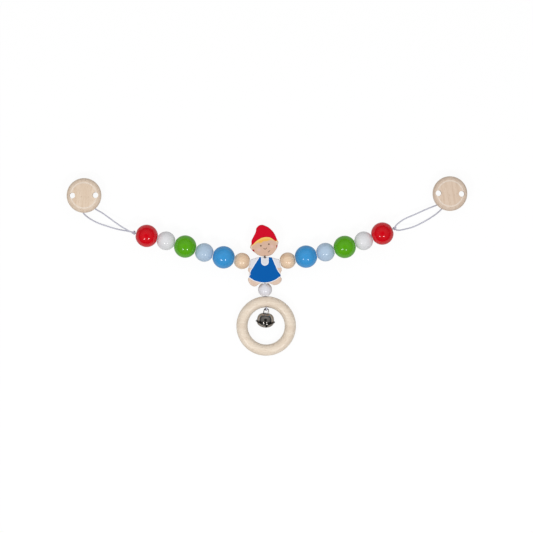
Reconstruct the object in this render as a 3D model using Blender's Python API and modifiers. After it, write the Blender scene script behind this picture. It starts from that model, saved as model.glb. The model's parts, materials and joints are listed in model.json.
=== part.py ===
# A pram chain toy: a flat wooden figure strung between two arms of wooden beads, each with a loop
# of cord and a wooden clip at its end, and a wooden ring with a small bell hung below the figure.
#
# Metres, +Z up. The toy lies on its back on a table, which is z = 0. The figure stands along +Y and
# the bead arms run out along -X and +X. The origin is on the table, under the cord hole through
# the figure's arms.
import math

import bmesh
import bpy
from mathutils import Matrix, Vector

COLLECTION_NAME = "Pram chain toy"

# Cord
CORD_DIAMETER = 0.0015
CORD_END_GAP = 0.0003
BELL_CORD_DIAMETER = 0.0012
CORD_SAMPLE_LENGTH = 0.0024

# Beads, from the figure outwards
BIG_BEAD_DIAMETER = 0.0234
MEDIUM_BEAD_DIAMETER = 0.0194
NATURAL_BEAD_DIAMETER = 0.0170
DROP_BEAD_DIAMETER = 0.0145
DROP_CORD_SHARE = 0.5
BEAD_BORE_DIAMETER = 0.0024
BEAD_MOUTH_CHAMFER = 0.0003
BEAD_END_DIAMETER = 0.0066
BEAD_END_ROUNDING = 0.0009
BEAD_GAP = 0.0004
BEAD_STEPS = 20
BEAD_ARC_POINTS = 11

# Headings of the beads from the figure outwards, in degrees above the X axis
LEFT_HEADINGS = (8.5, 13.0, 15.5, 18.5, 14.5, 14.0)
RIGHT_HEADINGS = (11.0, 13.0, 13.0, 17.0, 19.0, 23.0)

# Figure
FIGURE_FACE_WALL = 0.0024
FIGURE_EDGE_ROUNDING = 0.0011
BODY_HALF_WIDTH = 0.0156
BODY_TOP = 0.0050
BODY_BOTTOM = -0.0218
HEAD_GAP = 0.0006
HEAD_LEAN = 11.0
HEAD_BORE_DEPTH = 0.0140
LEFT_FOOT_BOTTOM = -0.0253
RIGHT_FOOT_BOTTOM = -0.0238

# Knots and loops
KNOT_DIAMETER = 0.0046
EYE_CORD_CLEARANCE = 0.0002

# Clips
CLIP_DISC_DIAMETER = 0.0360
CLIP_DISC_THICKNESS = 0.0080
CLIP_DISC_FACE_DIAMETER = 0.0270
CLIP_DISC_BACK_ROUNDING = 0.0025
CLIP_DISC_RIM_HEIGHT = 0.0030
CLIP_DISC_STEPS = 28
VENT_HOLE_DIAMETER = 0.0060
VENT_HOLE_SPACING = 0.0240
SHEET_THICKNESS = 0.0008
CLIP_PLATE_WIDTH = 0.0124
CLIP_PLATE_REAR = 0.0108
CLIP_PLATE_FRONT = 0.0072
CLIP_PLATE_HEIGHT = 0.0059
EYE_HEIGHT = 0.0028
EYE_SLOPE_END = 0.0096
EYE_PLATE_WIDTH = 0.0182
EYE_SLOT_INNER = 0.0106
EYE_SLOT_WIDTH = 0.0030
EYE_SLOT_LENGTH = 0.0150
EYE_BAR_WIDTH = 0.0012
EAR_LENGTH = 0.0046
EAR_FLOOR_GAP = 0.0014
PIN_OFFSET = 0.0070
PIN_HEIGHT = 0.0030
PIN_DIAMETER = 0.0016
PIN_CLEARANCE = 0.0002
PIN_OVERHANG = 0.0004
LEVER_FRONT = 0.0092
LEVER_REAR = 0.0090
LEVER_SIDE_GAP = 0.0005
LEVER_FLANGE_RADIUS = 0.0021
PAD_SIDE_GAP = 0.0005
PAD_REAR = 0.0006
PAD_FRONT = 0.0033
JAW_GAP = 0.0003
RIVET_HEAD_DIAMETER = 0.0052
RIVET_HEAD_THICKNESS = 0.0005
RIVET_DIAMETER = 0.0028
RIVET_CLEARANCE = 0.0003
RIVET_LENGTH_IN_DISC = 0.0045
SEAT_GAP = 0.0003

# Ring and bell
RING_OUTER_DIAMETER = 0.0620
RING_SECTION_DIAMETER = 0.0117
RING_STEPS = 32
RING_SECTION_STEPS = 12
RING_HEADING = -88.25
BELL_KNOT_DIAMETER = 0.0030
BELL_BODY_DIAMETER = 0.0172
BELL_FLANGE_DIAMETER = 0.0206
BELL_FLANGE_THICKNESS = 0.0005
BELL_SHELL_THICKNESS = 0.0006
BELL_UPPER_HEIGHT = 0.0093
BELL_LOWER_HEIGHT = 0.0060
BELL_SLOT_WIDTH = 0.0015
BELL_SLOT_HALF_LENGTH = 0.0058
BELL_SLOT_HOLE_DIAMETER = 0.0026
BELL_SLOT_DEPTH = 0.0030
BELL_HEADING = -94.8
BELL_DIP = 12.0
BELL_SIDE_SHIFT = 0.0009
BELL_TOP_GAP = 0.0006
BELL_TOP_FULLNESS = 2.9
BELL_STEPS = 24
BAIL_WIRE_DIAMETER = 0.0011
BAIL_WIDTH = 0.0058
BAIL_HEIGHT = 0.0054
PELLET_DIAMETER = 0.0056
PELLET_SHIFT = 0.0012

# Worked out from the sizes above
CHAIN_HEIGHT = BIG_BEAD_DIAMETER / 2
FIGURE_THICKNESS = CHAIN_HEIGHT + BEAD_BORE_DIAMETER / 2 + FIGURE_FACE_WALL
DROP_HEIGHT = DROP_BEAD_DIAMETER / 2
DISC_BACK = CLIP_PLATE_HEIGHT + SHEET_THICKNESS + SEAT_GAP
RING_CENTRE_RADIUS = (RING_OUTER_DIAMETER - RING_SECTION_DIAMETER) / 2
RING_TILT = math.asin((DROP_HEIGHT - RING_SECTION_DIAMETER / 2) / (2 * RING_CENTRE_RADIUS))

# The left half of the body's outline, top to bottom, as (x, y, is a corner). Its right half mirrors it.
BODY_OUTLINE = (
    (-0.0058, BODY_TOP, False),
    (-0.0110, 0.0038, False),
    (-BODY_HALF_WIDTH + 0.0006, 0.0022, False),
    (-BODY_HALF_WIDTH, 0.0000, False),
    (-BODY_HALF_WIDTH - 0.0004, -0.0034, False),
    (-0.0175, -0.0078, False),
    (-0.0163, -0.0113, True),
    (-0.0165, -0.0156, True),
    (-0.0175, -0.0184, False),
)
FOOT_CENTRE = 0.0112
FOOT_INNER = (0.0052, -0.0224)

# The head's outline about the neck, with the head upright: from the chin, round by the left ear, the
# hat and the right ear
HEAD_OUTLINE = (
    (0.0004, 0.0002),
    (-0.0058, 0.0026),
    (-0.0094, 0.0062),
    (-0.0120, 0.0098),
    (-0.0130, 0.0128),
    (-0.0112, 0.0154),
    (-0.0106, 0.0184),
    (-0.0079, 0.0223),
    (-0.0044, 0.0270),
    (-0.0027, 0.0309),
    (0.0019, 0.0332),
    (0.0072, 0.0310),
    (0.0115, 0.0268),
    (0.0145, 0.0212),
    (0.0159, 0.0150),
    (0.0168, 0.0121),
    (0.0154, 0.0092),
    (0.0141, 0.0066),
    (0.0110, 0.0033),
    (0.0073, 0.0008),
)

# Each clip: its place from its knot, which way its eye points in degrees, how far its vent holes are
# turned, how far to the side each strand crosses the eye's bar, and the heading and the rise at
# which each strand leaves the knot. A strand's own points, from knot to clip, are (outwards, up
# the view, height above the table), chosen by hand. One strand crosses over the bar, one under it.
LEFT_CLIP = {
    "place": (-0.0517, 0.0387),
    "eye_heading": -71.4,
    "vent_turn": 1.0,
    "strand_sides": (0.0050, -0.0068),
    "leave": ((163.0, 24.0), (163.0, -24.0)),
    "over_bar": (
        (0.0046, 0.0016, 0.0126),
        (0.0084, 0.0037, 0.0115),
        (0.0136, 0.0068, 0.0098),
        (0.0188, 0.0104, 0.0081),
        (0.0271, 0.0164, 0.0060),
        (0.0334, 0.0208, 0.0050),
        (0.0391, 0.0240, 0.0046),
    ),
    "under_bar": (
        (0.0046, 0.0012, 0.0095),
        (0.0084, 0.0020, 0.0080),
        (0.0136, 0.0029, 0.0062),
        (0.0188, 0.0041, 0.0045),
        (0.0292, 0.0072, 0.0022),
        (0.0396, 0.0110, 0.0012),
        (0.0480, 0.0159, 0.0011),
        (0.0528, 0.0203, 0.0014),
    ),
}
RIGHT_CLIP = {
    "place": (0.0575, 0.0361),
    "eye_heading": -128.0,
    "vent_turn": -1.6,
    "strand_sides": (-0.0018, 0.0038),
    "leave": ((68.0, 4.0), (-42.0, -12.0)),
    "over_bar": (
        (0.0038, 0.0053, 0.0116),
        (0.0090, 0.0090, 0.0108),
        (0.0142, 0.0116, 0.0095),
        (0.0194, 0.0137, 0.0081),
        (0.0246, 0.0160, 0.0068),
        (0.0298, 0.0184, 0.0058),
        (0.0350, 0.0206, 0.0051),
        (0.0402, 0.0227, 0.0047),
        (0.0432, 0.0239, 0.0046),
    ),
    "under_bar": (
        (0.0058, -0.0019, 0.0100),
        (0.0110, -0.0008, 0.0082),
        (0.0173, 0.0008, 0.0060),
        (0.0235, 0.0032, 0.0041),
        (0.0298, 0.0064, 0.0026),
        (0.0350, 0.0093, 0.0017),
        (0.0402, 0.0126, 0.0012),
        (0.0454, 0.0164, 0.0011),
        (0.0491, 0.0199, 0.0014),
    ),
}

PALE_CORD = ("cord", (0.58, 0.58, 0.66), 0.85, 0.0)
BEECH = ("beech", (0.77, 0.64, 0.51), 0.55, 0.0)
NICKEL = ("nickel", (0.60, 0.58, 0.56), 0.22, 1.0)

# Bead name, diameter, colour, in order from the figure outwards
ARM_BEADS = (
    ("natural", NATURAL_BEAD_DIAMETER, (0.75, 0.55, 0.33)),
    ("blue", BIG_BEAD_DIAMETER, (0.05, 0.27, 0.63)),
    ("pale_blue", MEDIUM_BEAD_DIAMETER, (0.40, 0.55, 0.75)),
    ("green", BIG_BEAD_DIAMETER, (0.08, 0.34, 0.01)),
    ("white", MEDIUM_BEAD_DIAMETER, (0.68, 0.68, 0.69)),
    ("red", BIG_BEAD_DIAMETER, (0.58, 0.00, 0.01)),
)

parts = None
cutters = None
worlds = {}


def clear_scene():
    for obj in list(bpy.data.objects):
        bpy.data.objects.remove(obj, do_unlink=True)


def new_collection(name):
    made = bpy.data.collections.new(name)
    bpy.context.scene.collection.children.link(made)
    return made


def material_for(obj, look):
    name, colour, roughness, metallic = look
    made = bpy.data.materials.new(name + " of " + obj.name)
    made.use_nodes = True
    shader = made.node_tree.nodes["Principled BSDF"]
    shader.inputs["Base Color"].default_value = (*colour, 1.0)
    shader.inputs["Roughness"].default_value = roughness
    shader.inputs["Metallic"].default_value = metallic
    obj.data.materials.clear()
    obj.data.materials.append(made)


# Frames: a named empty at each joint, with its world matrix kept beside it
def frame(name, world, parent=None):
    empty = bpy.data.objects.new(name, None)
    empty.empty_display_size = 0.004
    parts.objects.link(empty)
    worlds[name] = world
    if parent:
        empty.parent = bpy.data.objects[parent]
        empty.matrix_basis = worlds[parent].inverted() @ world
    else:
        empty.matrix_basis = world
    return name


def put(obj, name, local=Matrix.Identity(4)):
    obj.parent = bpy.data.objects[name]
    obj.matrix_basis = local
    return obj


def move(x=0.0, y=0.0, z=0.0):
    return Matrix.Translation((x, y, z))


def turn(degrees, axis):
    return Matrix.Rotation(math.radians(degrees), 4, axis)


# The turned pieces are made along their own Z, which this lays along X
ALONG_X = turn(90.0, "Y")


def as_part(obj, look, smooth_angle=40.0):
    for holder in obj.users_collection:
        holder.objects.unlink(obj)
    parts.objects.link(obj)
    material_for(obj, look)
    if obj.type == "MESH":
        obj.data.shade_smooth()
        obj.data.set_sharp_from_angle(angle=math.radians(smooth_angle))
    return obj


def as_cutter(obj):
    for holder in obj.users_collection:
        holder.objects.unlink(obj)
    cutters.objects.link(obj)
    obj.hide_render = True
    obj.display_type = "WIRE"
    return obj


def mesh_object(name, shape):
    mesh = bpy.data.meshes.new(name)
    shape.to_mesh(mesh)
    shape.free()
    return bpy.data.objects.new(name, mesh)


def cylinder(name, diameter, length, sides=16):
    shape = bmesh.new()
    bmesh.ops.create_cone(
        shape,
        cap_ends=True,
        segments=sides,
        radius1=diameter / 2,
        radius2=diameter / 2,
        depth=length,
    )
    return mesh_object(name, shape)


def box(name, low, high):
    shape = bmesh.new()
    size = [h - l for l, h in zip(low, high)]
    centre = [(h + l) / 2 for l, h in zip(low, high)]
    bmesh.ops.create_cube(shape, size=1.0)
    bmesh.ops.scale(shape, vec=size, verts=shape.verts)
    bmesh.ops.translate(shape, vec=centre, verts=shape.verts)
    return mesh_object(name, shape)


def ball(name, diameter):
    shape = bmesh.new()
    bmesh.ops.create_uvsphere(shape, u_segments=12, v_segments=8, radius=diameter / 2)
    return mesh_object(name, shape)


def turned(name, profile, steps):
    """A closed profile of (radius, height) points, down its outer side first, spun about Z."""
    mesh = bpy.data.meshes.new(name)
    points = [(radius, 0.0, height) for radius, height in profile]
    edges = [(i, (i + 1) % len(points)) for i in range(len(points))]
    mesh.from_pydata(points, edges, [])
    obj = bpy.data.objects.new(name, mesh)
    spin = obj.modifiers.new("Turning", "SCREW")
    spin.axis = "Z"
    spin.steps = steps
    spin.render_steps = steps
    spin.use_merge_vertices = True
    spin.merge_threshold = 0.00001
    return obj


def solid_curve(name, curve, world=Matrix.Identity(4)):
    """The mesh of a curve with its caps welded, in place of the curve."""
    holder = bpy.data.objects.new(name + " guide", curve)
    cutters.objects.link(holder)
    holder.matrix_basis = world
    bpy.context.view_layer.update()
    graph = bpy.context.evaluated_depsgraph_get()
    mesh = bpy.data.meshes.new_from_object(holder.evaluated_get(graph))
    mesh.transform(world)
    bpy.data.objects.remove(holder, do_unlink=True)
    shape = bmesh.new()
    shape.from_mesh(mesh)
    bmesh.ops.remove_doubles(shape, verts=shape.verts, dist=0.000002)
    bmesh.ops.recalc_face_normals(shape, faces=shape.faces)
    shape.to_mesh(mesh)
    shape.free()
    mesh.name = name
    return bpy.data.objects.new(name, mesh)


def outline_solid(name, outline, thickness, rounding, smoothness):
    """A flat outline of (x, y, is a corner) points, from z = 0 up to its thickness, with rounded edges."""
    curve = bpy.data.curves.new(name, "CURVE")
    curve.dimensions = "2D"
    curve.fill_mode = "BOTH"
    curve.resolution_u = smoothness
    curve.extrude = thickness / 2 - rounding
    curve.bevel_depth = rounding
    curve.bevel_resolution = 1
    curve.offset = -rounding
    spline = curve.splines.new("BEZIER")
    spline.bezier_points.add(len(outline) - 1)
    spline.use_cyclic_u = True
    for point, (x, y, corner) in zip(spline.bezier_points, outline):
        point.co = (x, y, 0.0)
        kind = "VECTOR" if corner else "AUTO"
        point.handle_left_type = kind
        point.handle_right_type = kind
    return solid_curve(name, curve, move(z=thickness / 2))


def strip(name, points, width, thickness):
    """Bent sheet: a line of (x, z) points at mid thickness, as wide as given along Y."""
    curve = bpy.data.curves.new(name, "CURVE")
    curve.dimensions = "2D"
    curve.extrude = width / 2
    spline = curve.splines.new("POLY")
    spline.points.add(len(points) - 1)
    for point, (x, z) in zip(spline.points, points):
        point.co = (x, z, 0.0, 1.0)
    obj = solid_curve(name, curve, turn(90.0, "X"))
    wall = obj.modifiers.new("Sheet", "SOLIDIFY")
    wall.thickness = thickness
    wall.offset = 0.0
    wall.use_even_offset = True
    return obj


def cut(obj, *others):
    for other in others:
        as_cutter(other)
        step = obj.modifiers.new("Cut " + other.name, "BOOLEAN")
        step.operation = "DIFFERENCE"
        step.object = other
    return obj


def join(obj, *others):
    for other in others:
        as_cutter(other)
        step = obj.modifiers.new("Join " + other.name, "BOOLEAN")
        step.operation = "UNION"
        step.object = other
    return obj


def smooth_route(points, spacing):
    """Points at even spacing along a Catmull-Rom curve through the given ones."""
    given = [Vector(p) for p in points]
    given = [2 * given[0] - given[1]] + given + [2 * given[-1] - given[-2]]
    fine = []
    per_span = 24
    for a, b, c, d in zip(given, given[1:], given[2:], given[3:]):
        for i in range(per_span):
            t = i / per_span
            fine.append(
                0.5
                * (
                    2 * b
                    + (c - a) * t
                    + (2 * a - 5 * b + 4 * c - d) * t**2
                    + (3 * b - a - 3 * c + d) * t**3
                )
            )
    fine.append(given[-2])
    lengths = [0.0]
    for a, b in zip(fine, fine[1:]):
        lengths.append(lengths[-1] + (b - a).length)
    count = max(2, round(lengths[-1] / spacing))
    even = []
    at = 0
    for i in range(count + 1):
        want = lengths[-1] * i / count
        while at < len(fine) - 2 and lengths[at + 1] < want:
            at += 1
        share = (want - lengths[at]) / (lengths[at + 1] - lengths[at])
        even.append(fine[at].lerp(fine[at + 1], share))
    return even


def tube(name, points, diameter):
    curve = bpy.data.curves.new(name, "CURVE")
    curve.dimensions = "3D"
    curve.bevel_depth = diameter / 2
    curve.bevel_resolution = 2
    curve.use_fill_caps = True
    spline = curve.splines.new("POLY")
    spline.points.add(len(points) - 1)
    for point, place in zip(spline.points, points):
        point.co = (*place, 1.0)
    return bpy.data.objects.new(name, curve)


# Beads on their pieces of cord
def bead_half_length(diameter):
    return math.sqrt((diameter / 2) ** 2 - (BEAD_END_DIAMETER / 2) ** 2)


def bead_profile(diameter):
    """A ball with a small flat round each mouth of its bore."""
    radius = diameter / 2
    half = bead_half_length(diameter)
    bore = BEAD_BORE_DIAMETER / 2
    mouth = bore + BEAD_MOUTH_CHAMFER
    flat = BEAD_END_DIAMETER / 2 - BEAD_END_ROUNDING
    first = math.asin((BEAD_END_DIAMETER / 2 + BEAD_END_ROUNDING) / radius)
    arc = []
    for i in range(BEAD_ARC_POINTS):
        angle = first + (math.pi - 2 * first) * i / (BEAD_ARC_POINTS - 1)
        arc.append((radius * math.sin(angle), radius * math.cos(angle)))
    return (
        [(mouth, half), (flat, half)]
        + arc
        + [(flat, -half), (mouth, -half)]
        + [(bore, -half + BEAD_MOUTH_CHAMFER), (bore, half - BEAD_MOUTH_CHAMFER)]
    )


def strung_bead(name, diameter, look, link, spin, cord_share=1.0):
    """A bead with its centre half a bead and half a gap out from its hinge, and cord inside it."""
    half = bead_half_length(diameter)
    centre = BEAD_GAP / 2 + half
    bead = as_part(turned(name, bead_profile(diameter), BEAD_STEPS), look)
    frame(spin, worlds[link] @ move(x=centre), link)
    put(bead, spin, ALONG_X)
    start = CORD_END_GAP / 2
    end = 2 * centre * cord_share - CORD_END_GAP / 2
    cord = tube(name + "_cord", [(start, 0, 0), (end, 0, 0)], CORD_DIAMETER)
    put(as_part(cord, PALE_CORD), link)
    return 2 * centre


def bead_arm(side):
    """The six beads of one arm. Gives the name of the last frame, at the knot's centre."""
    sign = -1 if side == "left" else 1
    headings = LEFT_HEADINGS if side == "left" else RIGHT_HEADINGS
    hinge = Vector((sign * (BODY_HALF_WIDTH + BEAD_GAP / 2), 0.0, CHAIN_HEIGHT))
    parent = "figure"
    for (colour_name, diameter, colour), heading in zip(ARM_BEADS, headings):
        along = heading if sign > 0 else 180.0 - heading
        link = f"{colour_name}_hinge_{side}"
        frame(link, Matrix.Translation(hinge) @ turn(along, "Z"), parent)
        look = (colour_name + " lacquer", colour, 0.18, 0.0)
        name = f"{colour_name}_bead_{side}"
        length = strung_bead(name, diameter, look, link, f"{colour_name}_spin_{side}")
        hinge = worlds[link] @ Vector((length, 0.0, 0.0))
        parent = link
    last = f"loop_hinge_{side}"
    knot_centre = length + (BEAD_GAP + KNOT_DIAMETER) / 2
    frame(last, worlds[parent] @ move(x=knot_centre), parent)
    return last


# Figure
def body_outline():
    left = list(BODY_OUTLINE)
    left.append((-FOOT_CENTRE, LEFT_FOOT_BOTTOM, False))
    left.append((-FOOT_INNER[0], FOOT_INNER[1], True))
    right = [(-x, y, corner) for x, y, corner in BODY_OUTLINE]
    right.append((FOOT_CENTRE, RIGHT_FOOT_BOTTOM, False))
    right.append((FOOT_INNER[0], FOOT_INNER[1], True))
    return left + [(0.0, BODY_BOTTOM, False)] + right[::-1]


def figure():
    frame("figure", Matrix.Identity(4))
    body = outline_solid(
        "figure_body", body_outline(), FIGURE_THICKNESS, FIGURE_EDGE_ROUNDING, 3
    )
    across = cylinder("bore through arms", BEAD_BORE_DIAMETER, 4 * BODY_HALF_WIDTH)
    across.matrix_basis = move(z=CHAIN_HEIGHT) @ turn(90.0, "Y")
    down = cylinder("bore down body", BEAD_BORE_DIAMETER, 4 * BODY_HALF_WIDTH)
    down.matrix_basis = move(z=DROP_HEIGHT) @ turn(90.0, "X")
    cut(body, across, down)
    put(as_part(body, ("painted body", (0.0, 0.11, 0.41), 0.35, 0.0), 30.0), "figure")

    reach = BODY_HALF_WIDTH + BEAD_GAP / 2 - CORD_END_GAP / 2
    cord = tube(
        "arm_cord", [(-reach, 0, CHAIN_HEIGHT), (reach, 0, CHAIN_HEIGHT)], CORD_DIAMETER
    )
    put(as_part(cord, PALE_CORD), "figure")
    # The cord down the body comes out at the neck and at the foot end. The head turns with it.
    neck = move(y=BODY_TOP + HEAD_GAP / 2, z=DROP_HEIGHT)
    frame("neck_turn", neck, "figure")
    low = BODY_BOTTOM - BEAD_GAP / 2 + CORD_END_GAP / 2 - (BODY_TOP + HEAD_GAP / 2)
    cord = tube("body_cord", [(0, low, 0), (0, -CORD_END_GAP / 2, 0)], CORD_DIAMETER)
    put(as_part(cord, PALE_CORD), "neck_turn")

    # The head leans about the neck, with the end of the cord in its bore
    frame("head_lean", neck @ turn(HEAD_LEAN, "Z"), "neck_turn")
    outline = [(x, y, False) for x, y in HEAD_OUTLINE]
    head = outline_solid("figure_head", outline, FIGURE_THICKNESS, FIGURE_EDGE_ROUNDING, 3)
    bore = cylinder("bore into head", BEAD_BORE_DIAMETER, 2 * HEAD_BORE_DEPTH)
    put(bore, "head_lean", turn(90.0, "X"))
    cut(head, bore)
    look = ("painted head", (0.63, 0.004, 0.021), 0.35, 0.0)
    put(as_part(head, look, 30.0), "head_lean", move(y=HEAD_GAP / 2, z=-DROP_HEIGHT))
    end = HEAD_BORE_DEPTH - CORD_END_GAP
    cord = tube("neck_cord", [(0, CORD_END_GAP / 2, 0), (0, end, 0)], CORD_DIAMETER)
    put(as_part(cord, PALE_CORD), "head_lean")


# Knots, loops and clips
def eye_turn(clip_world, over_side, under_side):
    """The loop's turn through the eye: over the bar, across the slot and back under the bar."""
    clear = CORD_DIAMETER / 2 + EYE_CORD_CLEARANCE
    over = EYE_HEIGHT + SHEET_THICKNESS + clear
    under = EYE_HEIGHT - clear
    bar = EYE_SLOT_INNER + EYE_SLOT_WIDTH + EYE_BAR_WIDTH / 2
    slot = EYE_SLOT_INNER + EYE_SLOT_WIDTH / 2
    points = []
    for along, across, down in (
        (bar, 0.0, 0.0),
        (slot + CORD_DIAMETER / 4, 0.18, 0.25),
        (slot - CORD_DIAMETER / 4, 0.50, 0.50),
        (slot + CORD_DIAMETER / 4, 0.82, 0.75),
        (bar, 1.0, 1.0),
    ):
        side = over_side + (under_side - over_side) * across
        points.append(clip_world @ Vector((along, side, over + (under - over) * down)))
    return points


def loop(arm_side, hinge):
    """The knot against the last bead, and the loop of cord from it through the clip's eye."""
    clip_place = LEFT_CLIP if arm_side == "left" else RIGHT_CLIP
    sign = -1 if arm_side == "left" else 1
    knot = ball(f"end_knot_{arm_side}", KNOT_DIAMETER)
    put(as_part(knot, PALE_CORD), hinge)
    middle = worlds[hinge].translation

    x, y = clip_place["place"]
    clip_world = move(middle.x + x, middle.y + y) @ turn(clip_place["eye_heading"], "Z")
    ends = []
    for heading, rise in clip_place["leave"]:
        way = turn(heading, "Z") @ turn(-rise, "Y") @ Vector((1.0, 0.0, 0.0))
        ends.append(middle + way * (KNOT_DIAMETER / 2 + 2 * CORD_END_GAP))

    def strand(points):
        return [Vector((middle.x + sign * out, middle.y + up, z)) for out, up, z in points]

    route = (
        [ends[0]]
        + strand(clip_place["over_bar"])
        + eye_turn(clip_world, *clip_place["strand_sides"])
        + strand(clip_place["under_bar"])[::-1]
        + [ends[1]]
    )
    points = smooth_route(route, CORD_SAMPLE_LENGTH)
    local = worlds[hinge].inverted()
    cord = tube(f"loop_cord_{arm_side}", [local @ p for p in points], CORD_DIAMETER)
    put(as_part(cord, PALE_CORD), hinge)
    return clip_world


def disc_profile():
    """The wooden disc from its face down, with a flat face, a rounded shoulder and a rounded back."""
    radius = CLIP_DISC_DIAMETER / 2
    face = CLIP_DISC_FACE_DIAMETER / 2
    top = CLIP_DISC_THICKNESS
    rim = CLIP_DISC_RIM_HEIGHT
    back = CLIP_DISC_BACK_ROUNDING
    hole = RIVET_DIAMETER / 2 + RIVET_CLEARANCE
    depth = RIVET_LENGTH_IN_DISC + RIVET_CLEARANCE
    points = [(0.0, top), (face, top)]
    for i in range(1, 7):
        angle = math.radians(15.0 * i)
        points.append(
            (face + (radius - face) * math.sin(angle), rim + (top - rim) * math.cos(angle))
        )
    for i in range(1, 4):
        angle = math.radians(30.0 * i)
        points.append((radius - back + back * math.cos(angle), back - back * math.sin(angle)))
    return points + [(hole, 0.0), (hole, depth), (0.0, depth)]


def clip(side, clip_world):
    """One clip. Its frames run along +X to the eye, with the jaw at the other end."""
    eye = EYE_SLOT_INNER + EYE_SLOT_WIDTH
    swing = f"clip_hinge_{side}"
    plate_frame = f"clip_frame_{side}"
    frame(swing, clip_world @ move(x=eye, z=EYE_HEIGHT), f"loop_hinge_{side}")
    frame(plate_frame, clip_world, swing)

    # The pressed plate with its eye, its ears and the hole for its rivet
    sheet = SHEET_THICKNESS
    middle = CLIP_PLATE_HEIGHT + sheet / 2
    eye_middle = EYE_HEIGHT + sheet / 2
    line = (
        (-CLIP_PLATE_REAR, middle),
        (CLIP_PLATE_FRONT, middle),
        (EYE_SLOPE_END, eye_middle),
        (EYE_SLOT_INNER + EYE_SLOT_WIDTH + EYE_BAR_WIDTH, eye_middle),
    )
    plate = strip(f"clip_plate_{side}", line, EYE_PLATE_WIDTH, sheet)
    waist = CLIP_PLATE_WIDTH / 2
    for name, low, high in (("left", waist, EYE_PLATE_WIDTH), ("right", -EYE_PLATE_WIDTH, -waist)):
        notch = box(
            f"{name} of plate {side}",
            (-2 * CLIP_PLATE_REAR, low, -CLIP_PLATE_HEIGHT),
            (EYE_SLOPE_END, high, 2 * CLIP_PLATE_HEIGHT),
        )
        put(notch, plate_frame)
        cut(plate, notch)
    for y in (-CLIP_PLATE_WIDTH / 2, CLIP_PLATE_WIDTH / 2 - sheet):
        ear = box(
            f"ear {side} {y:.4f}",
            (-PIN_OFFSET - EAR_LENGTH / 2, y, EAR_FLOOR_GAP),
            (-PIN_OFFSET + EAR_LENGTH / 2, y + sheet, CLIP_PLATE_HEIGHT + sheet / 2),
        )
        put(ear, plate_frame)
        join(plate, ear)
    slot = box(
        f"slot {side}",
        (EYE_SLOT_INNER, -EYE_SLOT_LENGTH / 2, EYE_HEIGHT - sheet),
        (EYE_SLOT_INNER + EYE_SLOT_WIDTH, EYE_SLOT_LENGTH / 2, EYE_HEIGHT + 2 * sheet),
    )
    rivet_hole = cylinder(f"rivet hole {side}", RIVET_DIAMETER + 2 * RIVET_CLEARANCE, 4 * sheet)
    pin_hole = cylinder(
        f"pin hole {side}", PIN_DIAMETER + 2 * PIN_CLEARANCE, 2 * CLIP_PLATE_WIDTH
    )
    put(slot, plate_frame)
    put(rivet_hole, plate_frame, move(z=middle))
    pin_place = move(x=-PIN_OFFSET, z=PIN_HEIGHT)
    put(pin_hole, plate_frame, pin_place @ turn(90.0, "X"))
    cut(plate, slot, rivet_hole, pin_hole)
    put(as_part(plate, NICKEL, 30.0), plate_frame)

    length = CLIP_PLATE_WIDTH + 2 * PIN_OVERHANG
    pin = cylinder(f"clip_pin_{side}", PIN_DIAMETER, length)
    put(as_part(pin, NICKEL), plate_frame, pin_place @ turn(90.0, "X"))

    # The rivet, its head under the plate and its shank up into the disc
    head_top = CLIP_PLATE_HEIGHT - SEAT_GAP / 2
    shank_top = DISC_BACK + RIVET_LENGTH_IN_DISC
    head = RIVET_HEAD_DIAMETER / 2
    shank = RIVET_DIAMETER / 2
    profile = [
        (0.0, shank_top),
        (shank, shank_top),
        (shank, head_top),
        (head, head_top),
        (head, head_top - RIVET_HEAD_THICKNESS / 2),
        (head - RIVET_HEAD_THICKNESS, head_top - RIVET_HEAD_THICKNESS),
        (0.0, head_top - RIVET_HEAD_THICKNESS),
    ]
    rivet = turned(f"clip_rivet_{side}", profile, 16)
    put(as_part(rivet, NICKEL, 30.0), plate_frame)

    # The wooden disc, which turns on the rivet
    disc_frame = f"clip_disc_turn_{side}"
    vent_turn = (LEFT_CLIP if side == "left" else RIGHT_CLIP)["vent_turn"]
    disc_world = Matrix.Translation(clip_world.translation) @ turn(vent_turn, "Z")
    frame(disc_frame, disc_world @ move(z=DISC_BACK), plate_frame)
    disc = turned(f"clip_disc_{side}", disc_profile(), CLIP_DISC_STEPS)
    for x in (-VENT_HOLE_SPACING / 2, VENT_HOLE_SPACING / 2):
        vent = cylinder(f"vent {side} {x:.3f}", VENT_HOLE_DIAMETER, 4 * CLIP_DISC_THICKNESS)
        put(vent, disc_frame, move(x=x))
        cut(disc, vent)
    put(as_part(disc, BEECH), disc_frame)

    lever(side, plate_frame)


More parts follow.
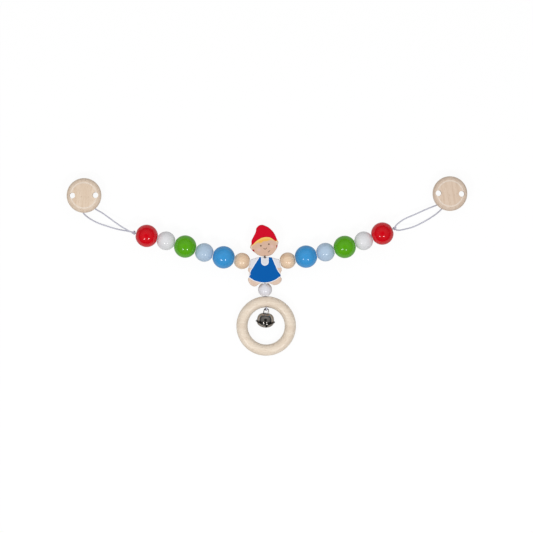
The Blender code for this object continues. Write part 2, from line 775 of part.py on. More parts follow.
def lever(side, plate_frame):
    """The snap lever under the plate, and the soft pad on it that grips against the plate."""
    sheet = SHEET_THICKNESS
    lever_frame = f"clip_lever_hinge_{side}"
    pin_place = move(x=-PIN_OFFSET, z=PIN_HEIGHT)
    frame(lever_frame, worlds[plate_frame] @ pin_place, plate_frame)
    back = pin_place.inverted()
    half = CLIP_PLATE_WIDTH / 2 - sheet - LEVER_SIDE_GAP
    floor = box(f"clip_lever_{side}", (-LEVER_REAR, -half, 0.0), (LEVER_FRONT, half, sheet))
    for y in (-half + sheet / 2, half - sheet / 2):
        flange = cylinder(f"flange {side} {y:.4f}", 2 * LEVER_FLANGE_RADIUS, sheet)
        put(flange, lever_frame, move(y=y) @ turn(90.0, "X"))
        root = box(
            f"flange root {side} {y:.4f}",
            (-PIN_OFFSET - 0.8 * LEVER_FLANGE_RADIUS, y - sheet / 2, sheet / 2),
            (-PIN_OFFSET + 0.8 * LEVER_FLANGE_RADIUS, y + sheet / 2, PIN_HEIGHT),
        )
        put(root, lever_frame, back)
        join(floor, root, flange)
    hole = cylinder(f"lever pin hole {side}", PIN_DIAMETER + 2 * PIN_CLEARANCE, 3 * half)
    put(hole, lever_frame, turn(90.0, "X"))
    cut(floor, hole)
    put(as_part(floor, NICKEL, 30.0), lever_frame, back)

    wide = half - sheet - PAD_SIDE_GAP
    pad = box(
        f"clip_pad_{side}",
        (-PIN_OFFSET - PAD_REAR, -wide, sheet + SEAT_GAP),
        (-PIN_OFFSET + PAD_FRONT, wide, CLIP_PLATE_HEIGHT - JAW_GAP),
    )
    hub = cylinder(f"pad hub {side}", 2 * LEVER_FLANGE_RADIUS - sheet, 2 * wide)
    put(hub, lever_frame, turn(90.0, "X"))
    join(pad, hub)
    hole = cylinder(f"pad pin hole {side}", PIN_DIAMETER + 2 * PIN_CLEARANCE, 4 * wide)
    put(hole, lever_frame, turn(90.0, "X"))
    cut(pad, hole)
    put(as_part(pad, ("pad", (0.80, 0.80, 0.78), 0.5, 0.0), 30.0), lever_frame, back)


# Ring and bell
def drop_and_ring():
    hinge = Vector((0.0, BODY_BOTTOM - BEAD_GAP / 2, DROP_HEIGHT))
    frame("drop_hinge", Matrix.Translation(hinge) @ turn(RING_HEADING, "Z"), "figure")
    look = ("white lacquer", (0.70, 0.69, 0.73), 0.25, 0.0)
    share = DROP_CORD_SHARE
    length = strung_bead("drop_bead", DROP_BEAD_DIAMETER, look, "drop_hinge", "drop_spin", share)

    # The lower part of the cord in the bead twists with the ring
    section = RING_SECTION_DIAMETER / 2
    middle = length + BEAD_GAP / 2 + section
    frame("ring_twist", worlds["drop_hinge"] @ move(x=middle), "drop_hinge")
    start = length * share + CORD_END_GAP / 2 - middle
    end = length - CORD_END_GAP / 2 - middle
    cord = tube("drop_bead_lower_cord", [(start, 0, 0), (end, 0, 0)], CORD_DIAMETER)
    put(as_part(cord, PALE_CORD), "ring_twist")

    # The ring lifts about the middle of its own section, with the cord in its bore
    frame("ring_lift", worlds["ring_twist"] @ Matrix.Rotation(RING_TILT, 4, "Y"), "ring_twist")
    bpy.ops.mesh.primitive_torus_add(
        major_radius=RING_CENTRE_RADIUS,
        minor_radius=section,
        major_segments=RING_STEPS,
        minor_segments=RING_SECTION_STEPS,
    )
    ring = bpy.context.active_object
    ring.name = "ring"
    bore = cylinder("bore through ring", BEAD_BORE_DIAMETER, 4 * section)
    put(bore, "ring_lift", ALONG_X)
    cut(ring, bore)
    put(as_part(ring, BEECH), "ring_lift", move(x=RING_CENTRE_RADIUS))
    start = -section - BEAD_GAP / 2 + CORD_END_GAP / 2
    cord = tube("ring_cord", [(start, 0, 0), (section, 0, 0)], CORD_DIAMETER)
    put(as_part(cord, PALE_CORD), "ring_lift")


def bell_frame():
    """The bell lies on its flange, its bail end raised. Its own Z runs to the bail, its Y down."""
    section = RING_SECTION_DIAMETER / 2
    wall = worlds["ring_lift"] @ Vector((section, 0.0, 0.0))
    reach = BELL_UPPER_HEIGHT + BAIL_HEIGHT - BAIL_WIRE_DIAMETER / 2
    dip = math.radians(BELL_DIP)
    heading = math.radians(BELL_HEADING)
    way = Vector((math.cos(heading) * math.cos(dip), math.sin(heading) * math.cos(dip), -math.sin(dip)))
    lip = SEAT_GAP / 2 + BELL_FLANGE_THICKNESS
    height = BELL_FLANGE_DIAMETER / 2 * math.cos(dip) + lip * math.sin(dip)
    wire = Vector((wall.x + BELL_SIDE_SHIFT, wall.y - BELL_TOP_GAP - BAIL_WIRE_DIAMETER / 2, 0.0))
    wire.z = height + reach * math.sin(dip)
    centre = wire + way * reach
    up = -way
    side = up.cross(Vector((0.0, 0.0, 1.0))).normalized()
    axes = Matrix((side, up.cross(side), up)).transposed()
    return Matrix.Translation(centre) @ axes.to_4x4(), wire


def dome(radius, height, first, last, count, fullness=2.0):
    """The side of a dome, from angle to angle: fullness is 2 for an ellipse, and more for a squarer one."""
    points = []
    for i in range(count):
        angle = math.radians(first + (last - first) * i / (count - 1))
        across, up = math.cos(angle), math.sin(angle)
        across = max(0.0, across) ** (2 / fullness)
        up = math.copysign(abs(up) ** (2 / fullness), up)
        points.append((radius * across, height * up))
    return points


def bell():
    world, wire = bell_frame()
    hinge = Matrix.Translation(wire) @ world.to_3x3().to_4x4()
    frame("bell_hinge", hinge, "ring_lift")
    local = hinge.inverted() @ world
    wall = BELL_SHELL_THICKNESS
    radius = BELL_BODY_DIAMETER / 2
    rim = BELL_FLANGE_DIAMETER / 2
    seam = SEAT_GAP / 2
    flange = seam + BELL_FLANGE_THICKNESS

    outer = dome(radius, BELL_UPPER_HEIGHT, 90.0, 1.5, 9, BELL_TOP_FULLNESS)
    inner = dome(radius - wall, BELL_UPPER_HEIGHT - wall, 1.0, 90.0, 9, BELL_TOP_FULLNESS)
    profile = outer + [(rim, flange), (rim, seam), (inner[0][0], seam)] + inner[1:]
    upper = turned("bell_upper_shell", profile, BELL_STEPS)
    put(as_part(upper, NICKEL), "bell_hinge", local)

    outer = dome(radius, BELL_LOWER_HEIGHT, -8.0, -90.0, 8)
    inner = dome(radius - wall, BELL_LOWER_HEIGHT - wall, -90.0, -3.0, 7)
    inner = inner[:-1] + [(inner[-1][0], -seam)]
    profile = [(rim, -seam), (rim, -flange)] + outer + inner
    lower = turned("bell_lower_shell", profile, BELL_STEPS)
    low = -2 * BELL_LOWER_HEIGHT
    slot = box(
        "bell slot",
        (-BELL_SLOT_WIDTH / 2, -BELL_SLOT_HALF_LENGTH, low),
        (BELL_SLOT_WIDTH / 2, BELL_SLOT_HALF_LENGTH, -BELL_SLOT_DEPTH),
    )
    put(slot, "bell_hinge", local)
    cut(lower, slot)
    for y in (-BELL_SLOT_HALF_LENGTH, BELL_SLOT_HALF_LENGTH):
        hole = cylinder(f"bell slot end {y:.4f}", BELL_SLOT_HOLE_DIAMETER, -low)
        put(hole, "bell_hinge", local @ move(y=y, z=-BELL_LOWER_HEIGHT - 0.0016))
        cut(lower, hole)
    put(as_part(lower, NICKEL), "bell_hinge", local)

    # The wire bail stands on the dome
    half = (BAIL_WIDTH - BAIL_WIRE_DIAMETER) / 2
    top = BELL_UPPER_HEIGHT + BAIL_HEIGHT - BAIL_WIRE_DIAMETER / 2
    foot = BELL_UPPER_HEIGHT + SEAT_GAP
    points = [(half, 0.0, foot)]
    for i in range(9):
        angle = math.pi * i / 8
        points.append((half * math.cos(angle), 0.0, top - half + half * math.sin(angle)))
    points.append((-half, 0.0, foot))
    bail = tube("bell_bail", points, BAIL_WIRE_DIAMETER)
    put(as_part(bail, NICKEL), "bell_hinge", local)

    # The loose pellet lies on the inside of the bell
    inside = radius - wall - SEAT_GAP - PELLET_DIAMETER / 2
    pellet = ball("bell_pellet", PELLET_DIAMETER)
    frame("pellet_slide", world @ move(y=inside, z=PELLET_SHIFT), "bell_hinge")
    put(as_part(pellet, NICKEL), "pellet_slide")


def bell_loop():
    """A knot at the mouth of the ring's bore, and the loop from it round the bail's wire."""
    wire = worlds["bell_hinge"].translation
    section = RING_SECTION_DIAMETER / 2
    local = worlds["ring_lift"].inverted()
    knot_x = section + SEAT_GAP + BELL_KNOT_DIAMETER / 2
    knot = ball("bell_knot", BELL_KNOT_DIAMETER)
    put(as_part(knot, PALE_CORD), "ring_lift", move(x=knot_x))
    centre = worlds["ring_lift"] @ Vector((knot_x, 0.0, 0.0))

    # Round the wire, clear of it by the gap that touching pieces keep
    radius = BAIL_WIRE_DIAMETER / 2 + BELL_CORD_DIAMETER / 2 + SEAT_GAP
    round_wire = []
    for degrees in (10.0, 55.0, 100.0, 145.0, 190.0):
        angle = math.radians(degrees)
        round_wire.append(wire + Vector((0.0, radius * math.cos(angle), radius * math.sin(angle))))
    lift = BELL_KNOT_DIAMETER / 2 + BELL_CORD_DIAMETER
    apart = BELL_CORD_DIAMETER * 0.65
    near = centre + Vector((0.0, apart, lift))
    far = centre + Vector((0.0, -apart, lift))
    route = [
        near - Vector((0.0, 0.0, BELL_CORD_DIAMETER / 2)),
        near.lerp(round_wire[0], 0.45) - Vector((0.0, 0.0003, 0.0)),
        *round_wire,
        round_wire[-1].lerp(far, 0.55) - Vector((0.0, 0.0005, 0.0)),
        far - Vector((0.0, 0.0, BELL_CORD_DIAMETER / 2)),
    ]
    points = smooth_route(route, BELL_CORD_DIAMETER)
    cord = tube("bell_loop", [local @ p for p in points], BELL_CORD_DIAMETER)
    put(as_part(cord, PALE_CORD), "ring_lift")


clear_scene()
parts = new_collection(COLLECTION_NAME)
cutters = new_collection("Cutters")
cutters.hide_render = True
figure()
for arm in ("left", "right"):
    last_frame = bead_arm(arm)
    clip(arm, loop(arm, last_frame))
drop_and_ring()
bell()
bell_loop()
bpy.context.view_layer.update()
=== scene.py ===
import json
import math

import bmesh
import bpy
from mathutils import Matrix, Vector


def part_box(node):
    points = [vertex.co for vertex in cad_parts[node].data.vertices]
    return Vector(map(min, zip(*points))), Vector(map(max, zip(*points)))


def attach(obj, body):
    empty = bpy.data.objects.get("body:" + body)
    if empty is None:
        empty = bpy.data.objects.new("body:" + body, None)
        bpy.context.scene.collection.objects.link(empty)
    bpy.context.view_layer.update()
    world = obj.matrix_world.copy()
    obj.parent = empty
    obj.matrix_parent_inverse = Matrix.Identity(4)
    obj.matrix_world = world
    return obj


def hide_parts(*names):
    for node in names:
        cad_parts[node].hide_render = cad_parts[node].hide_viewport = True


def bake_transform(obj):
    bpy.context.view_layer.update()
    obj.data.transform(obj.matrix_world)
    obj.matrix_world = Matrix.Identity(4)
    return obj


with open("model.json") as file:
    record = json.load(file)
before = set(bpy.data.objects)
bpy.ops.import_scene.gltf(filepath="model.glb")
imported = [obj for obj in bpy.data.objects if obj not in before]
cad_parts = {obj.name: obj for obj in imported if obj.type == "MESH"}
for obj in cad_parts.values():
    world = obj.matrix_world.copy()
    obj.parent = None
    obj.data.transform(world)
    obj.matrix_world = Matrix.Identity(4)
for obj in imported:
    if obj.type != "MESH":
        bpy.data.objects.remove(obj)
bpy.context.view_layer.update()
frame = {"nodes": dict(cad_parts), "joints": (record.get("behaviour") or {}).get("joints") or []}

# Pram chain toy: lacquered beads, a painted wooden figure, beech clips and ring, a nickel bell
joints = {joint["name"]: joint for joint in frame["joints"]}
sides = ("left", "right")
beadColours = ("natural", "blue", "pale_blue", "green", "white", "red")
mm = 1000.0  # millimetres in a metre
alongX = Vector((1.0, 0.0, 0.0))
alongY = Vector((0.0, 1.0, 0.0))
mergeDistance = 0.000002


def jointPlace(name):
    return Vector(joints[name]["pos_m"])


def jointAxis(name):
    return Vector(joints[name]["axis"])


def alongAxis(place, axis):
    # the placing of a piece that was made along its own Z
    return Matrix.Translation(place) @ axis.to_track_quat("Z", "Y").to_matrix().to_4x4()


def lifted(height):
    return Matrix.Translation((0.0, 0.0, height))


def turned(degrees):
    return Matrix.Rotation(math.radians(degrees), 4, "Z")


class Wire:
    # one shader socket: arithmetic on it adds the Math nodes
    def __init__(self, tree, socket=None):
        self.tree = tree
        self.socket = socket

    def node(self, kind, settings=None, feeds=None, output=0):
        made = self.tree.nodes.new("ShaderNode" + kind)
        for name, value in (settings or {}).items():
            if name == "stops":
                while len(made.color_ramp.elements) < len(value):
                    made.color_ramp.elements.new(0.5)
                for element, (place, colour) in zip(made.color_ramp.elements, value):
                    element.position = place
                    element.color = (*colour, 1.0)
            elif name == "line":
                points = made.mapping.curves[0].points
                while len(points) < len(value):
                    points.new(0.5, 0.5)
                for point, place in zip(points, value):
                    point.location = place
                made.mapping.update()
            else:
                setattr(made, name, value)
        for key, value in (feeds or {}).items():
            self.feed(made.inputs[key], value)
        return Wire(self.tree, made.outputs[output])

    def feed(self, socket, value):
        if isinstance(value, Wire):
            self.tree.links.new(value.socket, socket)
        elif isinstance(value, tuple) and socket.type == "RGBA":
            socket.default_value = (*value, 1.0)
        else:
            socket.default_value = value

    def maths(self, operation, *others):
        return self.node("Math", {"operation": operation}, dict(enumerate((self, *others))))

    def __add__(self, other):
        return self.maths("ADD", other)

    def __mul__(self, other):
        return self.maths("MULTIPLY", other)

    def __sub__(self, other):
        return self.maths("SUBTRACT", other)

    def __rsub__(self, other):
        return self * -1.0 + other

    __radd__ = __add__
    __rmul__ = __mul__

    def atLeast(self, other):
        return self.maths("MAXIMUM", other)

    def atMost(self, other):
        return self.maths("MINIMUM", other)

    def size(self):
        return self.maths("ABSOLUTE")

    def parts(self):
        # X, Y and Z of a vector
        split = self.node("SeparateXYZ", {}, {0: self}).socket.node.outputs
        return [Wire(self.tree, output) for output in split]

    def step(self, low, high):
        # 0 below low and 1 above high, or the other way round where low is the larger
        feeds = {0: self, 1: min(low, high), 2: max(low, high)}
        rising = self.node("MapRange", {"interpolation_type": "SMOOTHSTEP"}, feeds)
        return rising if low < high else 1.0 - rising

    def mix(self, under, over):
        # the colour under where this is 0, and over where it is 1
        return self.node("Mix", {"data_type": "RGBA"}, {0: self, 6: under, 7: over}, output=2)


def newMaterial(name):
    made = bpy.data.materials.new(name)
    made.use_nodes = True
    return made, Wire(made.node_tree).node("TexCoord", output="Object")


socketNames = {
    "colour": "Base Color",
    "roughness": "Roughness",
    "metal": "Metallic",
    "coat": "Coat Weight",
    "coatRoughness": "Coat Roughness",
    "gloss": "Specular IOR Level",
    "soft": "Subsurface Weight",
}


def finishWith(made, height, depth, **sockets):
    inputs = made.node_tree.nodes["Principled BSDF"].inputs
    for name, value in sockets.items():
        height.feed(inputs[socketNames[name]], value)
    bump = height.node("Bump", {}, {"Strength": 1.0, "Distance": depth, "Height": height})
    height.feed(inputs["Normal"], bump)
    return made


def noise(place, scale, detail=2.0, roughness=0.5):
    feeds = {"Vector": place, "Scale": scale, "Detail": detail, "Roughness": roughness}
    return place.node("TexNoise", {}, feeds)


def stretched(place, along):
    return place.node("Mapping", {}, {"Vector": place, "Scale": (1.0, along, 1.0)})


def woodPattern(place, heading, shift):
    # growth bands, fibres and the short dark flecks of beech, each from 0 to 1
    feeds = {"Vector": place, "Rotation": (0.0, 0.0, -heading), "Location": shift}
    lying = place.node("Mapping", {}, feeds)  # its Y runs with the grain
    bands = noise(stretched(lying, 0.07), 330.0, 3.0, 0.55).step(0.36, 0.66)
    fibres = noise(stretched(lying, 0.03), 2600.0, 3.0, 0.65).step(0.3, 0.7)
    flecks = noise(stretched(lying, 0.13), 2300.0, 1.0, 0.4).step(0.63, 0.72)
    return bands, fibres, flecks


# of each wood, the light and the dark of its bands and its flecks
woodColours = {
    "beech": ((0.81, 0.705, 0.58), (0.71, 0.585, 0.46), (0.50, 0.33, 0.20)),
    "left clip": ((0.775, 0.63, 0.495), (0.67, 0.51, 0.37), (0.47, 0.31, 0.19)),
    "right clip": ((0.725, 0.575, 0.455), (0.63, 0.47, 0.345), (0.44, 0.285, 0.175)),
    "maple": ((0.82, 0.625, 0.44), (0.74, 0.505, 0.33), (0.52, 0.33, 0.19)),
    "figure": ((0.71, 0.55, 0.45), (0.64, 0.475, 0.375), (0.50, 0.34, 0.24)),
}


def woodColour(kind, pattern):
    light, dark, fleck = woodColours[kind]
    bands, fibres, flecks = pattern
    plain = (bands * 0.6 + fibres * 0.3).mix(light, dark)
    return (flecks * 0.45).mix(plain, fleck)


def wood(name, kind, heading, shift, roughness, coat=0.0, coatRoughness=0.14):
    made, place = newMaterial(name)
    pattern = woodPattern(place, heading, shift)
    fibres, flecks = pattern[1:]
    return finishWith(
        made,
        colour=woodColour(kind, pattern),
        roughness=fibres * 0.14 + roughness,
        coat=coat,
        coatRoughness=coatRoughness,
        height=fibres * -0.35 + flecks * -0.8,
        depth=0.00004,
    )


def lacquer(name, colour, coat):
    # dipped paint: even and glossy; round the mouths of the bore the wood is bare, coloured dark
    # brown as painted shade where the beads meet
    made, place = newMaterial(name)
    fromBore = place.node("Attribute", {"attribute_name": "fromBore"}, output="Fac")
    darker = tuple(part * 0.94 for part in colour)
    painted = noise(place, 130.0).step(0.35, 0.65).mix(colour, darker)
    # bare wood at the mouths of the bore, darkened as painted shade of the contact between beads
    bareEndShade = fromBore.step(2.6, 2.1)  # millimetres
    return finishWith(
        made,
        colour=bareEndShade.mix(painted, (0.10, 0.055, 0.03)),
        roughness=noise(place, 900.0) * 0.12 + 0.34,
        gloss=0.0,
        coat=coat - bareEndShade * coat,
        coatRoughness=0.14,
        height=noise(place, 420.0, 1.0),
        depth=0.0000015,
    )


def metal(name, colour, roughness, smudge=0.12):
    made, place = newMaterial(name)
    worn = noise(place, 260.0, 3.0, 0.6)
    dull = tuple(part * 0.80 for part in colour)
    return finishWith(
        made,
        colour=worn.step(0.4, 0.75).mix(colour, dull),
        metal=1.0,
        roughness=worn.step(0.45, 0.8) * smudge + roughness,
        height=noise(stretched(place, 0.05), 5200.0, 1.0),  # hairlines
        depth=0.000004,
    )


def cordCloth(name, colour):
    # a round braid: two sets of strands that cross, read along and around the cord
    made, place = newMaterial(name)
    around, along = place.node("UVMap", {"uv_map": "braid"}).parts()[:2]
    oneWay = (around * 6.0 + along * 2.0).maths("FRACT")
    otherWay = (around * 6.0 - along * 2.0).maths("FRACT")
    strands = ((oneWay - 0.5).size().atLeast((otherWay - 0.5).size()) * 2.0).step(0.55, 1.0)
    fuzz = noise(place, 2400.0, 3.0, 0.7)
    shade = tuple(part * 0.74 for part in colour)
    return finishWith(
        made,
        colour=(strands * 0.6 + fuzz.step(0.4, 0.8) * 0.2).mix(colour, shade),
        roughness=fuzz * 0.2 + 0.7,
        gloss=0.1,
        height=strands * -1.0 + fuzz * 0.3,
        depth=0.00005,
    )


def layered(material, layer):
    # puts one more layer over a finished material's colour
    tree = material.node_tree
    socket = tree.nodes["Principled BSDF"].inputs["Base Color"]
    under = Wire(tree, socket.links[0].from_socket)
    under.feed(socket, layer(under.node("TexCoord", output="Object"), under))


def keepMeasure(piece, attribute, measure):
    kept = piece.data.attributes.new(attribute, "FLOAT", "POINT")
    kept.data.foreach_set("value", [measure(corner.co) for corner in piece.data.vertices])


def plasticPad(name):
    made, place = newMaterial(name)
    grain = noise(place, 1900.0)
    return finishWith(
        made,
        colour=grain.step(0.35, 0.7).mix((0.80, 0.80, 0.78), (0.72, 0.72, 0.69)),
        roughness=grain * 0.15 + 0.42,
        soft=0.1,
        height=grain,
        depth=0.00002,
    )


def clearSelection():
    if bpy.context.object and bpy.context.object.mode != "OBJECT":
        bpy.ops.object.mode_set(mode="OBJECT")
    bpy.ops.object.select_all(action="DESELECT")


def selectOnly(piece):
    clearSelection()
    piece.select_set(True)
    bpy.context.view_layer.objects.active = piece


def edit(piece):
    selectOnly(piece)
    bpy.ops.object.mode_set(mode="EDIT")


def selectAll():
    bpy.ops.mesh.select_all(action="SELECT")


def pick(kind, passes):
    # in edit mode, selects the edges or faces that lie where the test says
    bpy.ops.mesh.select_mode(type={"edges": "EDGE", "faces": "FACE"}[kind])
    bpy.ops.mesh.select_all(action="DESELECT")
    shape = bmesh.from_edit_mesh(bpy.context.edit_object.data)
    for item in getattr(shape, kind):
        if kind == "edges":
            item.select_set(all(passes(corner.co) for corner in item.verts))
        else:
            item.select_set(passes(item.calc_center_median(), item.normal))
    bmesh.update_edit_mesh(bpy.context.edit_object.data)


def extrude(rise):
    bpy.ops.mesh.extrude_region_move(TRANSFORM_OT_translate={"value": (0, 0, rise)})


def widen(share, height):
    bpy.ops.transform.resize(value=(share, share, 1.0), center_override=(0, 0, height))


def endEdit():
    selectAll()
    bpy.ops.mesh.remove_doubles(threshold=mergeDistance)
    bpy.ops.mesh.normals_make_consistent(inside=False)
    bpy.ops.object.mode_set(mode="OBJECT")


def applyModifiers(piece):
    selectOnly(piece)
    for modifier in list(piece.modifiers):
        bpy.ops.object.modifier_apply(modifier=modifier.name)


def bevelEdges(piece, width, segments, degrees):
    step = piece.modifiers.new("Edges", "BEVEL")
    step.width = width
    step.segments = segments
    step.limit_method = "ANGLE"
    step.angle_limit = math.radians(degrees)
    applyModifiers(piece)


def discard(piece):
    bpy.data.objects.remove(piece, do_unlink=True)


def cutOut(piece, *cutters):
    for cutter in cutters:
        piece.modifiers.new("Boolean", "BOOLEAN").object = cutter
    applyModifiers(piece)
    for cutter in cutters:
        discard(cutter)


def startWith(primitive, **sizes):
    clearSelection()
    primitive(**sizes)
    return bpy.context.active_object


def rod(radius, depth, matrix, vertices=32):
    cylinder = bpy.ops.mesh.primitive_cylinder_add
    made = startWith(cylinder, vertices=vertices, radius=radius, depth=depth)
    made.data.transform(matrix)
    return made


def shadeSmooth(piece, degrees):
    selectOnly(piece)
    bpy.ops.object.shade_smooth_by_angle(angle=math.radians(degrees))


def dress(piece, name, material, body, node):
    piece.name = name
    piece.data.materials.clear()
    piece.data.materials.append(material)
    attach(piece, body)
    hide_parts(node)


def addObject(name, data):
    made = bpy.data.objects.new(name, data)
    bpy.context.scene.collection.objects.link(made)
    return made


def copyOf(piece, matrix):
    made = addObject(piece.name, piece.data.copy())
    made.data.transform(matrix)
    return made


def meshFrom(name, curve):
    selectOnly(addObject(name, curve))
    bpy.ops.object.convert(target="MESH")
    made = bpy.context.active_object
    edit(made)
    endEdit()
    return made


def mergedCopy(node, bevel):
    # a CAD node's own shape with its flat faces joined again and its edges broken
    made = addObject(node, frame["nodes"][node].data.copy())
    edit(made)
    selectAll()
    bpy.ops.mesh.remove_doubles(threshold=2 * mergeDistance)
    bpy.ops.mesh.dissolve_limited(angle_limit=math.radians(1.0))
    endEdit()
    bevelEdges(made, bevel, 3, 30.0)
    shadeSmooth(made, 40.0)
    return made


def smoothRoute(points, spacing):
    # evenly spaced points on a smooth curve through the given ones
    given = [Vector(point) for point in points]
    given = [2 * given[0] - given[1]] + given + [2 * given[-1] - given[-2]]
    fine = []
    steps = 24  # between two given points
    for a, b, c, d in zip(given, given[1:], given[2:], given[3:]):
        for i in range(steps):
            t = i / steps
            bend = (2 * a - 5 * b + 4 * c - d) * t**2 + (3 * b - a - 3 * c + d) * t**3
            fine.append(0.5 * (2 * b + (c - a) * t + bend))
    fine.append(given[-2])
    lengths = [0.0]
    for a, b in zip(fine, fine[1:]):
        lengths.append(lengths[-1] + (b - a).length)
    count = max(2, round(lengths[-1] / spacing))
    even = []
    at = 0
    for i in range(count + 1):
        want = lengths[-1] * i / count
        while at < len(fine) - 2 and lengths[at + 1] < want:
            at += 1
        share = (want - lengths[at]) / (lengths[at + 1] - lengths[at])
        even.append(fine[at].lerp(fine[at + 1], share))
    return even


braid = {"sides": 18, "lobes": 3, "pitch": 1.5, "relief": 0.07}  # pitch in diameters


def braidedTube(name, points, diameter, closed=False):
    # a tube with the relief of a round braid on it, and a UV map along and around it
    shape = bmesh.new()
    flat = shape.loops.layers.uv.new("braid")
    count = len(points)
    rings = []
    along = 0.0
    normal = None
    places = []
    for i, point in enumerate(points):
        before = points[i - 1] if i or closed else point
        after = points[(i + 1) % count] if i < count - 1 or closed else point
        way = (after - before).normalized()
        if normal is None:
            normal = way.orthogonal().normalized()
        normal = (normal - way * normal.dot(way)).normalized()
        across = way.cross(normal)
        if i:
            along += (point - points[i - 1]).length
        places.append(along)
        circle = []
        turns = along / (braid["pitch"] * diameter)
        for k in range(braid["sides"]):
            angle = math.tau * k / braid["sides"]
            one = math.cos(braid["lobes"] * angle + math.tau * turns)
            other = math.cos(braid["lobes"] * angle - math.tau * turns)
            radius = diameter / 2 * (1 - braid["relief"] * (0.5 - 0.5 * one * other))
            out = normal * math.cos(angle) + across * math.sin(angle)
            circle.append(shape.verts.new(point + out * radius))
        rings.append(circle)
    spans = count if closed else count - 1
    for i in range(spans):
        circle, following = rings[i], rings[(i + 1) % count]
        reach = places[i + 1] if i + 1 < count else places[i] + (points[0] - points[i]).length
        for k in range(braid["sides"]):
            n = (k + 1) % braid["sides"]
            face = shape.faces.new((circle[k], circle[n], following[n], following[k]))
            face.smooth = True
            ends = ((k, places[i]), (k + 1, places[i]), (k + 1, reach), (k, reach))
            for corner, (turn, far) in zip(face.loops, ends):
                corner[flat].uv = (turn / braid["sides"], far / (braid["pitch"] * diameter))
    if not closed:
        shape.faces.new(rings[0][::-1])
        shape.faces.new(rings[-1])
    bmesh.ops.recalc_face_normals(shape, faces=shape.faces)
    mesh = bpy.data.meshes.new(name)
    shape.to_mesh(mesh)
    shape.free()
    return addObject(name, mesh)


knotForm = {"strand": 0.86, "tail": 0.98, "tailFrom": 0.3, "depth": 1.35, "steps": 66}


def knotShape(name, place, size, cordDiameter, tails, turn):
    # a pulled-tight overhand knot: a three-lobed closed turn, with a tail towards each cord
    strand = cordDiameter * knotForm["strand"]
    scale = (size - strand) / 6
    points = []
    for i in range(knotForm["steps"]):
        t = math.tau * i / knotForm["steps"]
        x = math.sin(t) + 2 * math.sin(2 * t)
        y = math.cos(t) - 2 * math.cos(2 * t)
        z = -knotForm["depth"] * math.sin(3 * t)
        spun = Matrix.Rotation(turn, 3, "Z") @ Vector((x, y, z))
        points.append(place + spun * scale)
    knot = braidedTube(name, points, strand, closed=True)
    for tail in tails:
        inner = place.lerp(tail, knotForm["tailFrom"])
        route = [inner, inner.lerp(tail, 0.5), tail]
        end = braidedTube("tail", route, cordDiameter * knotForm["tail"])
        selectOnly(knot)
        end.select_set(True)
        bpy.ops.object.join()
    return knot


view = {
    "pixel": 0.00104,  # at the height of the plane
    "across": 533,
    "distance": 2.8,
    "centre": (0.0017, -0.0046),
    "plane": 0.008,
}
camera = bpy.data.cameras.new("camera")
camera.sensor_width = 36.0
camera.lens = camera.sensor_width * view["distance"] / (view["across"] * view["pixel"])
cameraHolder = addObject("camera", camera)
cameraHolder.location = (*view["centre"], view["plane"] + view["distance"])
bpy.context.scene.camera = cameraHolder

floor = {
    "size": 14.0,
    "low": -0.0002,
    "colour": (0.56, 0.56, 0.56),
    "shown": 0.88,  # how much of the plain white hides the cloth, to the camera
    "mirrored": 0.36,  # and in gloss
    "white": 1.06,
}
floorPlace = (0.0, 0.0, floor["low"])
floorPiece = startWith(bpy.ops.mesh.primitive_plane_add, size=floor["size"], location=floorPlace)
floorPiece.name = "floor"
floorMaterial = bpy.data.materials.new("floor")
floorMaterial.use_nodes = True
floorMaterial.node_tree.nodes.clear()
floorWire = Wire(floorMaterial.node_tree)
seen = floorWire.node("LightPath", output="Is Camera Ray") * floor["shown"]
mirrored = floorWire.node("LightPath", output="Is Glossy Ray") * floor["mirrored"]
through = floorWire.node("LightPath", output="Is Transmission Ray") * floor["shown"]
shows = seen.atLeast(mirrored).atLeast(through)
cloth = floorWire.node("BsdfDiffuse", {}, {"Color": floor["colour"]})
glow = floorWire.node("Emission", {}, {"Color": (1.0, 1.0, 1.0), "Strength": floor["white"]})
floorLook = floorWire.node("MixShader", {}, {0: shows, 1: cloth, 2: glow})
floorOut = floorLook.tree.nodes.new("ShaderNodeOutputMaterial")
floorLook.feed(floorOut.inputs["Surface"], floorLook)
floorPiece.data.materials.append(floorMaterial)

lamps = {
    "size": 0.17,
    "distance": 1.5,
    "power": {"softbox left": 5.5, "softbox right": 5.2},
    "way": {"softbox left": (-0.389, -0.457, 0.80), "softbox right": (0.300, -0.480, 0.82)},
}
for lampName, power in lamps["power"].items():
    light = bpy.data.lights.new(lampName, "AREA")
    light.shape = "SQUARE"
    light.size = lamps["size"]
    light.energy = power
    holder = addObject(lampName, light)
    way = Vector(lamps["way"][lampName]).normalized()
    holder.location = way * lamps["distance"]
    holder.rotation_euler = way.to_track_quat("Z", "Y").to_euler()

# the studio's pale ceiling is dim straight overhead and low down, a little brighter behind the
# object, and dimmer in gloss and in metal, as the room between the lamps is
studio = {
    "stops": ((0.0, 0.20), (0.26, 0.28), (0.62, 0.92), (0.90, 0.92), (0.965, 0.12), (1.0, 0.08)),
    "behind": 0.46,
    "mirrored": 0.30,
}
world = bpy.data.worlds.new("studio")
bpy.context.scene.world = world
world.use_nodes = True
behind, up = Wire(world.node_tree).node("TexCoord").parts()[1:]
stops = [(place, (level, level, level)) for place, level in studio["stops"]]
background = world.node_tree.nodes["Background"].inputs
up.feed(background["Color"], up.node("ValToRGB", {"stops": stops}, {0: up}))
inGloss = up.node("LightPath", output="Is Glossy Ray")
dimmed = 1.0 - inGloss * (1.0 - studio["mirrored"])
up.feed(background["Strength"], (behind * studio["behind"] + 1.0) * dimmed)
bpy.context.scene.view_settings.view_transform = "Standard"
print("camera, floor and lamps placed")

